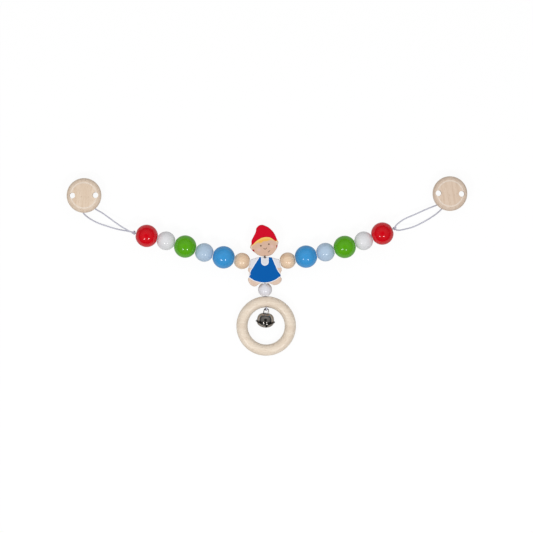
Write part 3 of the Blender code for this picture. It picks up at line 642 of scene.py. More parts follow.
cordWhite = cordCloth("cord braid", (0.57, 0.57, 0.66))
# the neck's cord is dark brown, as painted shade of the gap between head and body
cordBrown = cordCloth("neck braid", (0.06, 0.032, 0.022))
loopCord = {
    "diameter": 0.0015,
    "spacing": 0.00036,
    "knot": 0.0046,
    "clearance": 0.0002,
    "start": 0.0006,
    "bendFrom": 0.016,
    "bendTo": 0.003,
}
eye = {"height": 0.0028, "sheet": 0.0008, "slotInner": 0.0106, "slotWidth": 0.0030, "bar": 0.0012}
# strand points in millimetres from the knot: outwards, up the picture, and height
loops = {
    "left": {
        "eyeHeading": -71.4,
        "strandSides": (0.0050, -0.0068),
        "leave": ((163.0, 24.0), (163.0, -24.0)),
        "overBar": (
            (4.6, 1.6, 12.6), (8.4, 3.7, 11.5), (13.6, 6.8, 9.8), (18.8, 10.4, 8.1),
            (27.1, 16.4, 6.0), (33.4, 20.8, 5.0), (39.1, 24.0, 4.6),
        ),
        "underBar": (
            (4.6, 1.2, 9.5), (8.4, 2.0, 8.0), (13.6, 2.9, 6.2), (18.8, 4.1, 4.5), (29.2, 7.2, 2.2),
            (39.6, 11.0, 1.2), (48.0, 15.9, 1.1), (52.8, 20.3, 1.4),
        ),
    },
    "right": {
        "eyeHeading": -128.0,
        "strandSides": (-0.0018, 0.0038),
        "leave": ((68.0, 4.0), (-42.0, -12.0)),
        "overBar": (
            (3.8, 5.3, 11.6), (9.0, 9.0, 10.8), (14.2, 11.6, 9.5), (19.4, 13.7, 8.1),
            (24.6, 16.0, 6.8), (29.8, 18.4, 5.8), (35.0, 20.6, 5.1), (40.2, 22.7, 4.7),
            (43.2, 23.9, 4.6),
        ),
        "underBar": (
            (5.8, -1.9, 10.0), (11.0, -0.8, 8.2), (17.3, 0.8, 6.0), (23.5, 3.2, 4.1),
            (29.8, 6.4, 2.6), (35.0, 9.3, 1.7), (40.2, 12.6, 1.2), (45.4, 16.4, 1.1),
            (49.1, 19.9, 1.4),
        ),
    },
}


def eyeTurn(clipWorld, overSide, underSide):
    # the cord's way over the eye's bar, down through the slot and back under the bar
    clear = loopCord["diameter"] / 2 + loopCord["clearance"]
    over = eye["height"] + eye["sheet"] + clear
    under = eye["height"] - clear
    bar = eye["slotInner"] + eye["slotWidth"] + eye["bar"] / 2
    slot = eye["slotInner"] + eye["slotWidth"] / 2
    quarter = loopCord["diameter"] / 4
    points = []
    for along, across, down in (
        (bar, 0.0, 0.0), (slot + quarter, 0.18, 0.25), (slot - quarter, 0.50, 0.50),
        (slot + quarter, 0.82, 0.75), (bar, 1.0, 1.0),
    ):
        side = overSide + (underSide - overSide) * across
        points.append(clipWorld @ Vector((along, side, over + (under - over) * down)))
    return points


for side in sides:
    sign = -1 if side == "left" else 1
    facts = loops[side]
    middle = jointPlace(f"loop_swing_{side}")
    clipPlace = jointPlace(f"clip_disc_turn_{side}")
    clipPlace.z = 0.0
    clipWorld = Matrix.Translation(clipPlace) @ turned(facts["eyeHeading"])
    ends = []
    for heading, rise in facts["leave"]:
        upwards = Matrix.Rotation(math.radians(-rise), 3, "Y")
        way = turned(heading).to_3x3() @ upwards
        ends.append(middle + way @ Vector((loopCord["knot"] / 2 + loopCord["start"], 0.0, 0.0)))

    def strand(points):
        start = Vector((middle.x, middle.y, 0.0))
        return [start + Vector((sign * out, up, z)) / mm for out, up, z in points]

    route = [ends[0]] + strand(facts["overBar"]) + eyeTurn(clipWorld, *facts["strandSides"])
    route += strand(facts["underBar"])[::-1] + [ends[1]]
    points = smoothRoute(route, loopCord["spacing"])
    cord = braidedTube(f"loopCord_{side}", points, loopCord["diameter"])
    cord.data.materials.append(cordWhite)
    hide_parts(f"loop_cord_{side}")
    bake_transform(cord)
    length = sum((b - a).length for a, b in zip(points, points[1:]))
    tails = [*ends, middle - jointAxis(f"red_spin_{side}") * (loopCord["knot"] / 2)]
    name = f"endKnot_{side}"
    knot = knotShape(name, middle, loopCord["knot"], loopCord["diameter"], tails, 0.5)
    dress(knot, name, cordWhite, f"loop_{side}", f"end_knot_{side}")


def straightCord(name, node, body, place, axis, braided=cordWhite):
    # the cord inside a piece, as long as its node along the axis
    reach = [(corner.co - place).dot(axis) for corner in frame["nodes"][node].data.vertices]
    low, high = min(reach), max(reach)
    count = max(3, round((high - low) / loopCord["spacing"]))
    points = [place + axis * (low + (high - low) * i / count) for i in range(count + 1)]
    cord = braidedTube(name, points, loopCord["diameter"])
    dress(cord, name, braided, body, node)


def beadCord(name, node, body, spin):
    straightCord(name, node, body, jointPlace(spin), jointAxis(spin))


for side in sides:
    for colour in beadColours:
        node = f"{colour}_bead_{side}_cord"
        beadCord(f"{colour}Cord_{side}", node, f"{colour}_link_{side}", f"{colour}_spin_{side}")

armPlace = Vector((0.0, 0.0, jointPlace("natural_bend_left").z))
neckPlace = jointPlace("neck_turn")
headPlace = jointPlace("head_lean")
headLean = 11.0  # degrees
headTurn = turned(headLean)
headUp = headTurn.to_3x3() @ alongY
straightCord("armCord", "arm_cord", "figure", armPlace, alongX)
straightCord("bodyCord", "body_cord", "neck", neckPlace, alongY, cordBrown)
straightCord("neckCord", "neck_cord", "head", headPlace, headUp, cordBrown)
beadCord("dropCord", "drop_bead_cord", "drop_link", "drop_spin")
beadCord("dropLowerCord", "drop_bead_lower_cord", "ring_link", "drop_spin")

# the ring lies tilted a little on its cord, from the drop bead down to the table
ring = {
    "outer": 0.0620,
    "section": 0.0117,
    "bore": 0.0024,
    "boreLength": 0.024,
    "cordHeight": 0.00725,
    # how far the painted shade at the bore's mouth reaches
    "mouthShadeReach": (3.5, 2.7),  # millimetres from the mouth of the bore
}
ringCentreRadius = (ring["outer"] - ring["section"]) / 2
ringStart = jointPlace("ring_lift")
ringLift = jointAxis("ring_lift")
ringDrop = ring["cordHeight"] - ring["section"] / 2
ringTilt = math.asin(ringDrop / (2 * ringCentreRadius))
ringAxis = Matrix.Rotation(ringTilt, 3, ringLift) @ jointAxis("ring_twist")
straightCord("ringCord", "ring_cord", "ring", ringStart, ringAxis)
print("cords laid")

beadSizes = {
    "natural": 0.0170,
    "blue": 0.0234,
    "pale_blue": 0.0194,
    "green": 0.0234,
    "white": 0.0194,
    "red": 0.0234,
    "drop": 0.0145,
}
bead = {
    "bore": 0.0024,
    "mouth": 0.0030,
    "mouthDepth": 0.0003,
    "endDiameter": 0.0066,
    "endRounding": 0.0009,
    "segments": 72,
    "rings": 44,
    "slack": 0.00002,  # for finding its edges
}


def close(one, other):
    return abs(one - other) < bead["slack"]


def turnedBead(diameter):
    # a ball with a flat, rounded end at each mouth of its bore
    radius = diameter / 2
    end = bead["endDiameter"] / 2
    half = math.sqrt(radius**2 - end**2)
    ball = bpy.ops.mesh.primitive_uv_sphere_add
    made = startWith(ball, segments=bead["segments"], ring_count=bead["rings"], radius=radius)
    edit(made)
    bored = (half - bead["mouthDepth"]) * 0.9  # the rest is bridged from both sides
    for sign in (1, -1):
        selectAll()
        bpy.ops.mesh.bisect(
            plane_co=(0, 0, sign * half), plane_no=(0, 0, sign), use_fill=True, clear_outer=True
        )
        top = half * 0.999
        pick("faces", lambda centre, normal: normal.z * sign > 0.999 and centre.z * sign > top)
        bpy.ops.mesh.inset(thickness=end - bead["mouth"] / 2)
        extrude(-sign * bead["mouthDepth"])
        widen(bead["bore"] / bead["mouth"], sign * half)
        extrude(-sign * bored)
        bpy.ops.mesh.delete(type="FACE")
    inner = half - bead["mouthDepth"] - bored
    wall = bead["bore"] / 2 * 1.02
    pick("edges", lambda place: close(abs(place.z), inner) and place.xy.length < wall)
    bpy.ops.mesh.bridge_edge_loops()
    pick("edges", lambda place: close(abs(place.z), half) and close(place.xy.length, end))
    bpy.ops.mesh.bevel(offset=bead["endRounding"], segments=4)
    endEdit()
    keepMeasure(made, "fromBore", lambda place: mm * place.xy.length)
    shadeSmooth(made, 30.0)
    return made


beadPaints = {
    "blue": {"colour": (0.045, 0.300, 0.650), "coat": 0.7},
    "pale_blue": {"colour": (0.440, 0.570, 0.720), "coat": 0.5},
    "green": {"colour": (0.093, 0.385, 0.006), "coat": 0.75},
    "white": {"colour": (0.735, 0.735, 0.755), "coat": 0.5},
    "red": {"colour": (0.625, 0.001, 0.008), "coat": 0.75},
    "drop": {"colour": (0.720, 0.705, 0.745), "coat": 0.45},
}
mapleShifts = {"left": (0.011, 0.003, 0.017), "right": (0.043, 0.021, 0.008)}
lacquers = {colour: lacquer(colour + " lacquer", **look) for colour, look in beadPaints.items()}
patterns = {size: turnedBead(size) for size in set(beadSizes.values())}
for side in sides:
    for colour in beadColours:
        spin = f"{colour}_spin_{side}"
        axis = jointAxis(spin)
        made = copyOf(patterns[beadSizes[colour]], alongAxis(jointPlace(spin), axis))
        if colour == "natural":
            heading = math.atan2(axis.y, axis.x) - math.pi / 2
            look = wood(f"clear maple {side}", "maple", heading, mapleShifts[side], 0.4, coat=0.4)
        else:
            look = lacquers[colour]
        node = f"{colour}_bead_{side}"
        dress(made, f"{colour}Bead_{side}", look, node, node)
dropWorld = alongAxis(jointPlace("drop_spin"), jointAxis("drop_spin"))
made = copyOf(patterns[beadSizes["drop"]], dropWorld)
dress(made, "dropBead", lacquers["drop"], "drop_bead", "drop_bead")
for made in patterns.values():
    discard(made)
print("beads turned")

figure = {
    "thickness": 0.0153,
    "rounding": 0.0011,
    "bore": 0.0024,
    "boreLength": 0.06,
    "chinBore": 0.028,
    "headRise": 0.0003,
}
# outlines in millimetres, with whether a corner is sharp
bodyLeft = (
    (-5.8, 5.0, False), (-11.0, 3.8, False), (-15.0, 2.2, False), (-15.6, 0.0, False),
    (-16.0, -3.4, False), (-17.5, -7.8, False), (-16.3, -11.3, True), (-16.5, -15.6, True),
    (-17.5, -18.4, False),
)
bodyShape = [*bodyLeft, (-11.2, -25.3, False), (-5.2, -22.2, True), (0.0, -21.5, False)]
bodyShape += [(5.2, -22.2, True), (11.2, -23.8, False)]
bodyShape += [(-x, y, corner) for x, y, corner in bodyLeft[::-1]]
headShape = (
    (0.4, 0.2), (-5.8, 2.6), (-9.4, 6.2), (-12.0, 9.8), (-13.0, 12.8), (-11.2, 15.4),
    (-10.6, 18.4), (-7.9, 22.3), (-4.4, 27.0), (-2.7, 30.9), (1.9, 33.2), (7.2, 31.0),
    (11.5, 26.8), (14.5, 21.2), (15.9, 15.0), (16.8, 12.1), (15.4, 9.2), (14.1, 6.6), (11.0, 3.3),
    (7.3, 0.8),
)


def sawnShape(name, outline):
    # the sawn silhouette, sanded round at its edges, from z = 0 up to its thickness
    curve = bpy.data.curves.new(name, "CURVE")
    curve.dimensions = "2D"
    curve.fill_mode = "BOTH"
    curve.resolution_u = 14
    curve.extrude = figure["thickness"] / 2 - figure["rounding"]
    curve.bevel_depth = figure["rounding"]
    curve.bevel_resolution = 4
    curve.offset = -figure["rounding"]
    spline = curve.splines.new("BEZIER")
    spline.bezier_points.add(len(outline) - 1)
    spline.use_cyclic_u = True
    for point, (x, y, corner) in zip(spline.bezier_points, outline):
        point.co = (x / mm, y / mm, 0.0)
        point.handle_left_type = point.handle_right_type = "VECTOR" if corner else "AUTO"
    made = meshFrom(name, curve)
    made.data.transform(lifted(figure["thickness"] / 2))
    return made


def paintPlace(place, origin, degrees):
    # x and y across the front of a piece in millimetres, from its own origin, with it upright
    shift = turned(-degrees) @ (origin * -mm)
    heading = (0.0, 0.0, math.radians(-degrees))
    feeds = {"Vector": place, "Location": tuple(shift), "Rotation": heading}
    feeds["Scale"] = (mm, mm, mm)
    return place.node("Mapping", {}, feeds).parts()[:2]


def lineOf(at, points, span=40.0):
    # a drawn line through the points as a function of at, both in millimetres within half the span
    stops = [((p[0] + span / 2) / span, (p[1] + span / 2) / span) for p in points]
    if stops[0][0] > 0.0:
        stops = [(0.0, stops[0][1])] + stops
    if stops[-1][0] < 1.0:
        stops = stops + [(1.0, stops[-1][1])]
    share = at * (1.0 / span) + 0.5
    return at.node("FloatCurve", {"line": stops}, {"Value": share}) * span - span / 2


def distance(x, y, centre):
    across = x - centre[0]
    up = y - centre[1]
    return (across * across + up * up).maths("SQRT")


paint = {
    "edge": 0.16,
    "hat": (0.600, 0.002, 0.018),
    "hatEdge": (0.36, 0.0, 0.012),
    "hair": (0.810, 0.450, 0.055),
    "hairTop": (0.870, 0.560, 0.140),
    "face": (0.635, 0.425, 0.318),
    "cheek": (0.700, 0.480, 0.435),
    "ink": (0.105, 0.062, 0.040),
    "dress": (0.0, 0.100, 0.385),
    "shirt": (0.675, 0.670, 0.705),
    "trim": (0.820, 0.865, 0.915),
    # painted shade: dark brown round the neck bore, where the gap between head and body is in shade
    "neck": (0.060, 0.028, 0.018),
}
headLines = {
    "brim": (
        (-13.0, 14.2), (-10.9, 14.5), (-8.9, 15.6), (-6.4, 17.3), (-1.2, 19.6), (2.0, 20.1),
        (4.8, 20.0), (9.2, 18.7), (12.6, 15.5), (14.3, 14.0), (16.4, 15.2),
    ),
    "fringe": (
        (-11.2, 14.1), (-7.7, 14.9), (-4.4, 16.1), (-1.0, 15.1), (1.5, 16.2), (5.6, 15.9),
        (9.4, 16.3), (12.0, 15.4), (14.0, 13.8),
    ),
}
dressLines = {
    "left": (
        (-15.6, -16.3), (-12.6, -15.1), (-11.6, -15.2), (-4.1, -11.3), (0.6, -8.4), (4.8, -6.0),
    ),
    "right": ((-14.4, 16.7), (-8.8, 13.2), (-4.1, 11.1), (0.5, 9.1), (4.4, 7.6)),
    "hem": (
        (-16.4, -15.6), (-13.6, -17.5), (-10.4, -19.2), (-5.1, -20.7), (0.1, -21.1),
        (5.3, -20.5), (11.1, -18.1), (16.8, -14.6),
    ),
}


def brushPainted(made, place, colour, smooth, thick, fibres):
    brushed = noise(place, 700.0, 3.0, 0.6)
    return finishWith(
        made,
        colour=colour,
        roughness=brushed * 0.16 + 0.36 - smooth * 0.04,
        gloss=0.1,
        height=thick + fibres * -0.12 + brushed * 0.12,
        depth=0.00006,
    )


def headPaint():
    made, place = newMaterial("painted head")
    x, y = paintPlace(place, headPlace, headLean)
    pattern = woodPattern(place, math.radians(headLean), (0.004, 0.011, 0.002))

    def spot(centre, outer, inner):
        return distance(x, y, centre).step(outer, inner)

    aboveBrim = y - lineOf(x, headLines["brim"])
    hat = aboveBrim.step(-paint["edge"], paint["edge"])
    hair = (y - lineOf(x, headLines["fringe"])).step(-0.9, 0.7)
    face = distance(x, y * 1.16, (1.7, 11.0)).step(13.7, 12.6)
    cheeks = spot((9.2, 9.3), 2.8, 0.6) + spot((-4.7, 8.5), 2.8, 0.6)
    eyes = spot((-1.9, 12.2), 0.98, 0.72).atLeast(spot((6.6, 12.2), 0.98, 0.72))
    noseRing = (distance(x, y, (2.0, 9.4)) - 1.5).size().step(0.48, 0.26)
    nose = noseRing * (y - 9.1).step(0.15, -0.15)
    smileRing = (distance(x, y, (3.8, 7.4)) - 3.05).size().step(0.46, 0.24)
    smile = smileRing * (x - 4.0).step(-0.1, 0.25) * (y - 5.8).step(0.2, -0.2)
    ink = eyes.atLeast(nose * 0.85).atLeast(smile * 0.85)
    # the hat's red where it wraps the rounded rim below the ears, in a darker red that is painted
    # shade of the rim
    leftRim = (x + 9.5).step(0.15, -0.15) * (y - 8.6).size().step(1.5, 1.0)
    rightRim = (x - 13.7).step(-0.15, 0.15) * (y - 7.8).size().step(2.0, 1.4)
    strands = aboveBrim.step(-3.0, -0.6).mix(paint["hair"], paint["hairTop"])
    hatColour = aboveBrim.step(1.0, 0.0).mix(paint["hat"], paint["hatEdge"])

    colour = face.mix(woodColour("figure", pattern), paint["face"])
    colour = (cheeks * 0.7).mix(colour, paint["cheek"])
    colour = (hair * 0.92).mix(colour, strands)
    colour = leftRim.atLeast(rightRim).mix(colour, paint["hatEdge"])
    colour = ink.mix(colour, paint["ink"])
    colour = hat.mix(colour, hatColour)
    # painted shade: a dark brown spot at the chin's bore, the shade of the neck gap
    colour = (spot((0.0, 0.1), 1.8, 1.2) * 0.9).mix(colour, paint["neck"])
    thick = hat * 0.8 + hair * 0.25 + ink * 0.3
    return brushPainted(made, place, colour, hat, thick, pattern[1])


def bodyPaint():
    made, place = newMaterial("painted body")
    x, y = paintPlace(place, Vector((0.0, 0.0, 0.0)), 0.0)
    edge = paint["edge"]
    pattern = woodPattern(place, 0.06, (0.021, 0.002, 0.014))
    aboveHem = y - lineOf(x, dressLines["hem"])
    fromLeft = x - lineOf(y, dressLines["left"])
    wide = fromLeft.atMost(lineOf(y, dressLines["right"]) - x).atMost(aboveHem)
    neckline = distance(x, (y - 0.2).atMost(0.0) + 0.2, (0.05, 0.2)) - 3.9
    inside = wide.atMost(neckline)
    dressed = inside.step(-edge, edge)
    reach = (y + 19.4).step(-0.4, 0.4).atLeast(aboveHem.step(-0.7, -0.5))
    trimmed = inside.step(-0.75 - edge, -0.75 + edge) * reach
    shirt = (y + 6.0).step(-0.25, 0.25)
    # painted shade: a dark brown spot at the top of the body's bore, the shade of the neck gap
    neck = distance(x, y, (0.1, 5.2)).step(1.7, 1.1)
    # painted shade: the blue is darker within 0.7 mm of the dress's outline, standing in for the
    # shade on the rounded edges
    deep = tuple(part * 0.8 for part in paint["dress"])

    colour = shirt.mix(woodColour("figure", pattern), paint["shirt"])
    colour = trimmed.mix(colour, paint["trim"])
    colour = dressed.mix(colour, inside.step(0.7, 0.1).mix(paint["dress"], deep))
    colour = (neck * 0.85).mix(colour, paint["neck"])
    return brushPainted(made, place, colour, dressed, dressed * 0.8 + shirt * 0.3, pattern[1])


def figureBore(length, place, axis):
    return rod(figure["bore"] / 2, length, alongAxis(place, axis))


bodyPiece = sawnShape("figureBody", bodyShape)
across = figureBore(figure["boreLength"], armPlace, alongX)
down = figureBore(figure["boreLength"], Vector((0.0, 0.0, neckPlace.z)), alongY)
cutOut(bodyPiece, across, down)
shadeSmooth(bodyPiece, 28.0)
dress(bodyPiece, "figureBody", bodyPaint(), "figure", "figure_body")

headPiece = sawnShape("figureHead", [(x, y, False) for x, y in headShape])
leant = Matrix.Translation((headPlace.x, headPlace.y, 0.0)) @ headTurn
headPiece.data.transform(leant @ Matrix.Translation((0.0, figure["headRise"], 0.0)))
cutOut(headPiece, figureBore(figure["chinBore"], headPlace, headUp))
shadeSmooth(headPiece, 28.0)
dress(headPiece, "figureHead", headPaint(), "head", "figure_head")
print("figure sawn and painted")

nickel = metal("nickel plate", (0.62, 0.60, 0.58), 0.16)
bellNickel = metal("bell nickel", (0.42, 0.395, 0.37), 0.10, smudge=0.05)
bellInsideShade = metal("bell inside", (0.035, 0.033, 0.031), 0.5)
padPlastic = plasticPad("grip pad")
disc = {
    "radius": 0.0180,
    "thickness": 0.0080,
    "step": 0.0003,
    "face": 0.0132,
    "faceEdge": 0.00022,
    "faceDraft": 0.985,
    "shoulder": 0.0045,
    "back": 0.0025,
    "vent": 0.0030,
    "ventApart": 0.0120,
    "ventEdge": 0.00035,
    "ventLength": 0.03,
    "rivetHole": 0.0017,
    "rivetDepth": 0.0048,
    # where the face's edge gets a painted highlight, and where the shoulder gets painted shade
    "litRing": (12.3, 12.9, 13.6, 14.1),  # millimetres from the middle
    "shaded": (13.7, 14.6),
    "ventTurn": {"left": 1.0, "right": -1.6},
    "grain": {"left": -6.0, "right": 9.0},
    "shift": {"left": (0.013, 0.004, 0.011), "right": (0.051, 0.017, 0.006)},
}


def turnedDisc():
    # a turned button with a round shoulder and a face that stands up a little
    deep = disc["thickness"] - disc["step"]
    made = rod(disc["radius"], deep, lifted(deep / 2), 120)
    edit(made)
    rim = disc["radius"] * 0.999
    pick("edges", lambda place: place.z > deep * 0.999 and place.xy.length > rim)
    bpy.ops.mesh.bevel(offset=disc["shoulder"], segments=14)
    pick("edges", lambda place: place.z < deep * 0.001 and place.xy.length > rim)
    bpy.ops.mesh.bevel(offset=disc["back"], segments=7)
    pick("faces", lambda centre, normal: normal.z > 0.999 and centre.xy.length < 0.002)
    bpy.ops.mesh.inset(thickness=disc["radius"] - disc["shoulder"] - disc["face"])
    extrude(disc["step"])
    widen(disc["faceDraft"], deep)
    top, inner = deep + disc["step"] * 0.5, disc["face"] * 0.9
    pick("edges", lambda place: place.z > top and place.xy.length > inner)
    bpy.ops.mesh.bevel(offset=disc["faceEdge"], segments=3)
    endEdit()
    cutters = []
    for sign in (1, -1):
        vent = Matrix.Translation((sign * disc["ventApart"], 0.0, 0.0))
        cutters.append(rod(disc["vent"], disc["ventLength"], vent, 48))
    cutters.append(rod(disc["rivetHole"], 2 * disc["rivetDepth"], Matrix.Identity(4), 24))
    cutOut(made, *cutters)
    return made


def discEdge(middle):
    # painted highlight: a paler ring at the edge of the face, where its rounded edge catches the
    # light; and painted shade: the turned shoulder is a little darker
    def layer(place, under):
        fromMiddle = distance(*paintPlace(place, middle, 0.0), (0.0, 0.0))
        inside, inner, outer, outside = disc["litRing"]
        litRing = fromMiddle.step(inside, inner) * fromMiddle.step(outside, outer)
        shoulder = fromMiddle.step(*disc["shaded"])
        withHighlight = (litRing * 0.5).mix(under, (0.86, 0.80, 0.73))
        return (shoulder * 0.17).mix(withHighlight, (0.46, 0.41, 0.37))

    return layer


# the clips' metal and plastic parts, with how far their edges are broken
clipParts = {"plate": 0.00022, "lever": 0.0002, "pin": 0.00015, "rivet": 0.0001, "pad": 0.0003}
discPattern = turnedDisc()
for side in sides:
    place = jointPlace(f"clip_disc_turn_{side}")
    made = copyOf(discPattern, Matrix.Translation(place) @ turned(disc["ventTurn"][side]))
    bevelEdges(made, disc["ventEdge"], 3, 50.0)
    shadeSmooth(made, 30.0)
    grain = math.radians(disc["grain"][side])
    look = wood(f"clip beech {side}", f"{side} clip", grain, disc["shift"][side], 0.52)
    layered(look, discEdge(place))
    dress(made, f"clipDisc_{side}", look, f"clip_disc_{side}", f"clip_disc_{side}")
    for part, bevel in clipParts.items():
        node = f"clip_{part}_{side}"
        body = f"clip_lever_{side}" if part in ("lever", "pad") else f"clip_{side}"
        look, slot = (padPlastic, "pad") if part == "pad" else (nickel, "nickel")
        dress(mergedCopy(node, bevel), f"clip{part.capitalize()}_{side}", look, body, node)
discard(discPattern)
print("clips made")

ringUp = ringAxis.cross(ringLift)
ringTurn = Matrix((ringAxis, ringLift, ringUp)).transposed().to_4x4()
ringMouth = ringStart - ringAxis * (ring["section"] / 2)
ringPiece = startWith(
    bpy.ops.mesh.primitive_torus_add,
    major_radius=ringCentreRadius,
    minor_radius=ring["section"] / 2,
    major_segments=160,
    minor_segments=48,
)
ringPiece.data.transform(Matrix.Translation(ringStart + ringAxis * ringCentreRadius) @ ringTurn)
ringBore = alongAxis(ringStart, ringAxis)
cutOut(ringPiece, rod(ring["bore"] / 2, ring["boreLength"], ringBore))
shadeSmooth(ringPiece, 30.0)
ringWood = wood(
    "ring beech", "beech", math.radians(84.0), (0.031, 0.008, 0.020), 0.50, 0.35, coatRoughness=0.26
)


def ringMouthShade(place, under):
    # painted shade: the wood round the mouth of the bore is darkened, as the shade where the drop
    # bead meets the ring
    feeds = {0: place, 1: tuple(ringMouth)}
    away = place.node("VectorMath", {"operation": "DISTANCE"}, feeds, output="Value") * mm
    return (away.step(*ring["mouthShadeReach"]) * 0.85).mix(under, (0.14, 0.085, 0.055))


layered(ringWood, ringMouthShade)
dress(ringPiece, "ring", ringWood, "ring", "ring")
print("ring turned")

bell = {
    "radius": 0.0090,
    "flange": 0.0104,
    "flangeThick": 0.0005,
    "rolled": 0.00022,
    "wall": 0.0006,
    "upper": 0.0093,
    "lower": 0.0060,
    "seam": 0.00015,
    "slot": 0.0008,
    "slotTurn": 12.0,
    "slotTop": 0.0031,
    "slotReach": 0.0240,
    "slotDepth": 0.0100,
    "hole": 0.0024,
    "flatTop": 0.0004,
    "topFullness": 0.60,
    # where the painted dark reflection in the crease fades out
    "creaseReflection": (2.3, 1.7),  # millimetres above the seam
    "bailHeight": 0.0054,
    "bailWidth": 0.0058,
    "wire": 0.0011,
    "pellet": 0.0028,
    "heading": -94.8,
    "dip": 12.0,
}
bellSide = jointAxis("bell_swing")
bellHeading = math.radians(bell["heading"])
bellDip = math.radians(bell["dip"])
flatWay = Vector((math.cos(bellHeading), math.sin(bellHeading), 0.0)) * math.cos(bellDip)
bellUp = Vector((0.0, 0.0, math.sin(bellDip))) - flatWay
bellTurn = Matrix((bellSide, bellUp.cross(bellSide), bellUp)).transposed().to_4x4()
bailTop = bell["upper"] + bell["bailHeight"] - bell["wire"] / 2
bellWorld = Matrix.Translation(jointPlace("bell_swing") - bellUp * bailTop) @ bellTurn


def bellShell(rise, sign):
    # half of the bell: a pressed dome with a flat flange that is rolled at its rim
    middle = bell["radius"] - bell["wall"] / 2
    low = bell["seam"] + bell["flangeThick"] / 2
    high = rise - bell["wall"] / 2
    if sign > 0:  # the upper half is squarer, with an upright skirt
        made = rod(middle, high - low, lifted((high + low) / 2), 96)
        edit(made)
        top, rim = high - mergeDistance, middle * 0.99
        pick("edges", lambda place: place.z > top and place.xy.length > rim)
        bpy.ops.mesh.bevel(
            offset=middle - bell["flatTop"], segments=22, profile=bell["topFullness"]
        )
        pick("faces", lambda centre, normal: normal.z < -0.999 and centre.z < low + mergeDistance)
        bpy.ops.mesh.delete(type="FACE")
    else:
        ball = bpy.ops.mesh.primitive_uv_sphere_add
        made = startWith(ball, segments=96, ring_count=48, radius=middle)
        edit(made)
        selectAll()
        bpy.ops.transform.resize(value=(1.0, 1.0, high / middle), center_override=(0, 0, 0))
        bpy.ops.mesh.bisect(plane_co=(0, 0, -low), plane_no=(0, 0, 1), clear_outer=True)
    pick("edges", lambda place: abs(place.z - sign * low) < mergeDistance)
    bpy.ops.mesh.extrude_region_move()
    widen((bell["flange"] - bell["flangeThick"] / 2) / middle, sign * low)
    endEdit()
    wall = made.modifiers.new("Wall", "SOLIDIFY")
    wall.thickness = bell["flangeThick"]
    wall.offset = 0.0
    bevelEdges(made, bell["rolled"], 4, 40.0)
    edit(made)
    endEdit()
    return made


def creaseReflection(place, under):
    # painted dark reflection: the nickel is darkened in the crease between the dome and its flange
    height = place.node("Attribute", {"attribute_name": "aboveFlange"}, output="Fac")
    return (height.step(*bell["creaseReflection"]) * 0.85).mix(under, (0.05, 0.045, 0.04))


def dressShell(piece, name, node):
    # the crease shows on the upper half alone, so the lower half is far from it
    keepMeasure(piece, "aboveFlange", lambda place: mm * place.z if place.z > 0.0 else mm)
    # the inside of the shells is near-black metal, painted shade of the bell's hollow that shows
    # through the slot
    inner = [face.center.dot(face.normal) < 0.0 for face in piece.data.polygons]
    piece.data.transform(bellWorld)
    shadeSmooth(piece, 30.0)
    dress(piece, name, bellNickel, "bell", node)
    piece.data.materials.append(bellInsideShade)
    for face, dark in zip(piece.data.polygons, inner):
        face.material_index = 1 if dark else 0


layered(bellNickel, creaseReflection)
dressShell(bellShell(bell["upper"], 1), "bellUpper", "bell_upper_shell")

lowerShell = bellShell(bell["lower"], -1)
slotCutter = startWith(bpy.ops.mesh.primitive_cube_add, size=1.0)
slotTurn = turned(bell["slotTurn"])
slotSize = Matrix.Diagonal((bell["slot"], bell["slotReach"], bell["slotDepth"], 1.0))
slotMiddle = -bell["slotTop"] - bell["slotDepth"] / 2
slotCutter.data.transform(slotTurn @ lifted(slotMiddle) @ slotSize)
endsPlace = alongAxis(Vector((0.0, 0.0, -bell["slotTop"])), alongY)
slotEnds = rod(bell["hole"] / 2, bell["slotReach"], slotTurn @ endsPlace)
cutOut(lowerShell, slotCutter, slotEnds)
dressShell(lowerShell, "bellLower", "bell_lower_shell")

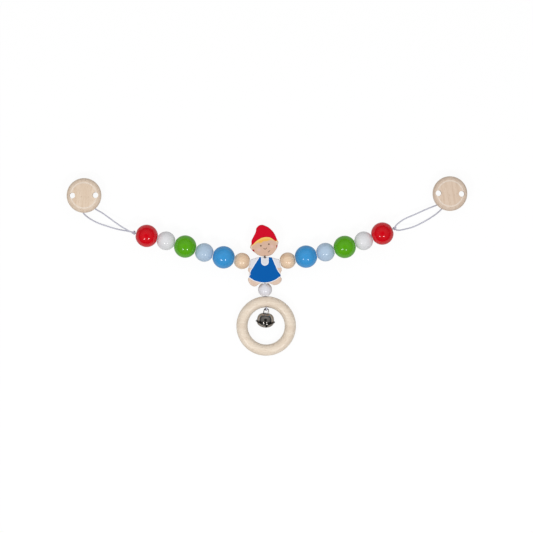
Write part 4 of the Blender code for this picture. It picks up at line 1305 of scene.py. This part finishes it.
bailHalf = (bell["bailWidth"] - bell["wire"]) / 2
bailFoot = bell["upper"] - bell["wall"] / 2
bailPoints = [(bailHalf, 0.0, bailFoot)]
for i in range(25):
    angle = math.pi * i / 24
    rise = bailTop - bailHalf + bailHalf * math.sin(angle)
    bailPoints.append((bailHalf * math.cos(angle), 0.0, rise))
bailPoints.append((-bailHalf, 0.0, bailFoot))
bailCurve = bpy.data.curves.new("bellBail", "CURVE")
bailCurve.dimensions = "3D"
bailCurve.bevel_depth = bell["wire"] / 2
bailCurve.bevel_resolution = 4
bailCurve.use_fill_caps = True
spline = bailCurve.splines.new("POLY")
spline.points.add(len(bailPoints) - 1)
for point, place in zip(spline.points, bailPoints):
    point.co = (*place, 1.0)
bail = meshFrom("bellBail", bailCurve)
bail.data.transform(bellWorld)
shadeSmooth(bail, 40.0)
# the bail has no aboveFlange measure, so the crease mask darkens all of it: painted dark reflection
dress(bail, "bellBail", bellNickel, "bell", "bell_bail")

ball = bpy.ops.mesh.primitive_ico_sphere_add
pellet = startWith(ball, subdivisions=4, radius=bell["pellet"])
pelletLow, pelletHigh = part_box("bell_pellet")
pellet.data.transform(Matrix.Translation((pelletLow + pelletHigh) / 2))
shadeSmooth(pellet, 60.0)
dress(pellet, "bellPellet", nickel, "bell_pellet", "bell_pellet")

bellCord = {"diameter": 0.0012, "knot": 0.0030, "gap": 0.0003, "apart": 0.65, "spacing": 0.0003}
bellCord["sag"] = (Vector((0.0, 0.0003, 0.0)), Vector((0.0, 0.0005, 0.0)))
fromRing = ring["section"] / 2 + bellCord["gap"] + bellCord["knot"] / 2
knotPlace = ringStart + ringAxis * fromRing
roundWire = []
turnRadius = bell["wire"] / 2 + bellCord["diameter"] / 2 + bellCord["gap"]
for degrees in (10.0, 55.0, 100.0, 145.0, 190.0):
    angle = math.radians(degrees)
    out = Vector((0.0, math.cos(angle), math.sin(angle)))
    roundWire.append(jointPlace("bell_swing") + out * turnRadius)
apart = bellCord["diameter"] * bellCord["apart"]
rise = bellCord["knot"] / 2 + bellCord["diameter"]
drop = Vector((0.0, 0.0, bellCord["diameter"] / 2))
over = knotPlace + Vector((0.0, apart, rise))
under = knotPlace + Vector((0.0, -apart, rise))
bellRoute = [
    over - drop,
    over.lerp(roundWire[0], 0.45) - bellCord["sag"][0],
    *roundWire,
    roundWire[-1].lerp(under, 0.55) - bellCord["sag"][1],
    under - drop,
]
bellPoints = smoothRoute(bellRoute, bellCord["spacing"])
bellLoop = braidedTube("bellLoop", bellPoints, bellCord["diameter"])
dress(bellLoop, "bellLoop", cordWhite, "ring", "bell_loop")
tails = [over - drop, under - drop]
bellKnot = knotShape("bellKnot", knotPlace, bellCord["knot"], bellCord["diameter"], tails, 0.3)
dress(bellKnot, "bellKnot", cordWhite, "ring", "bell_knot")
print("bell hung")
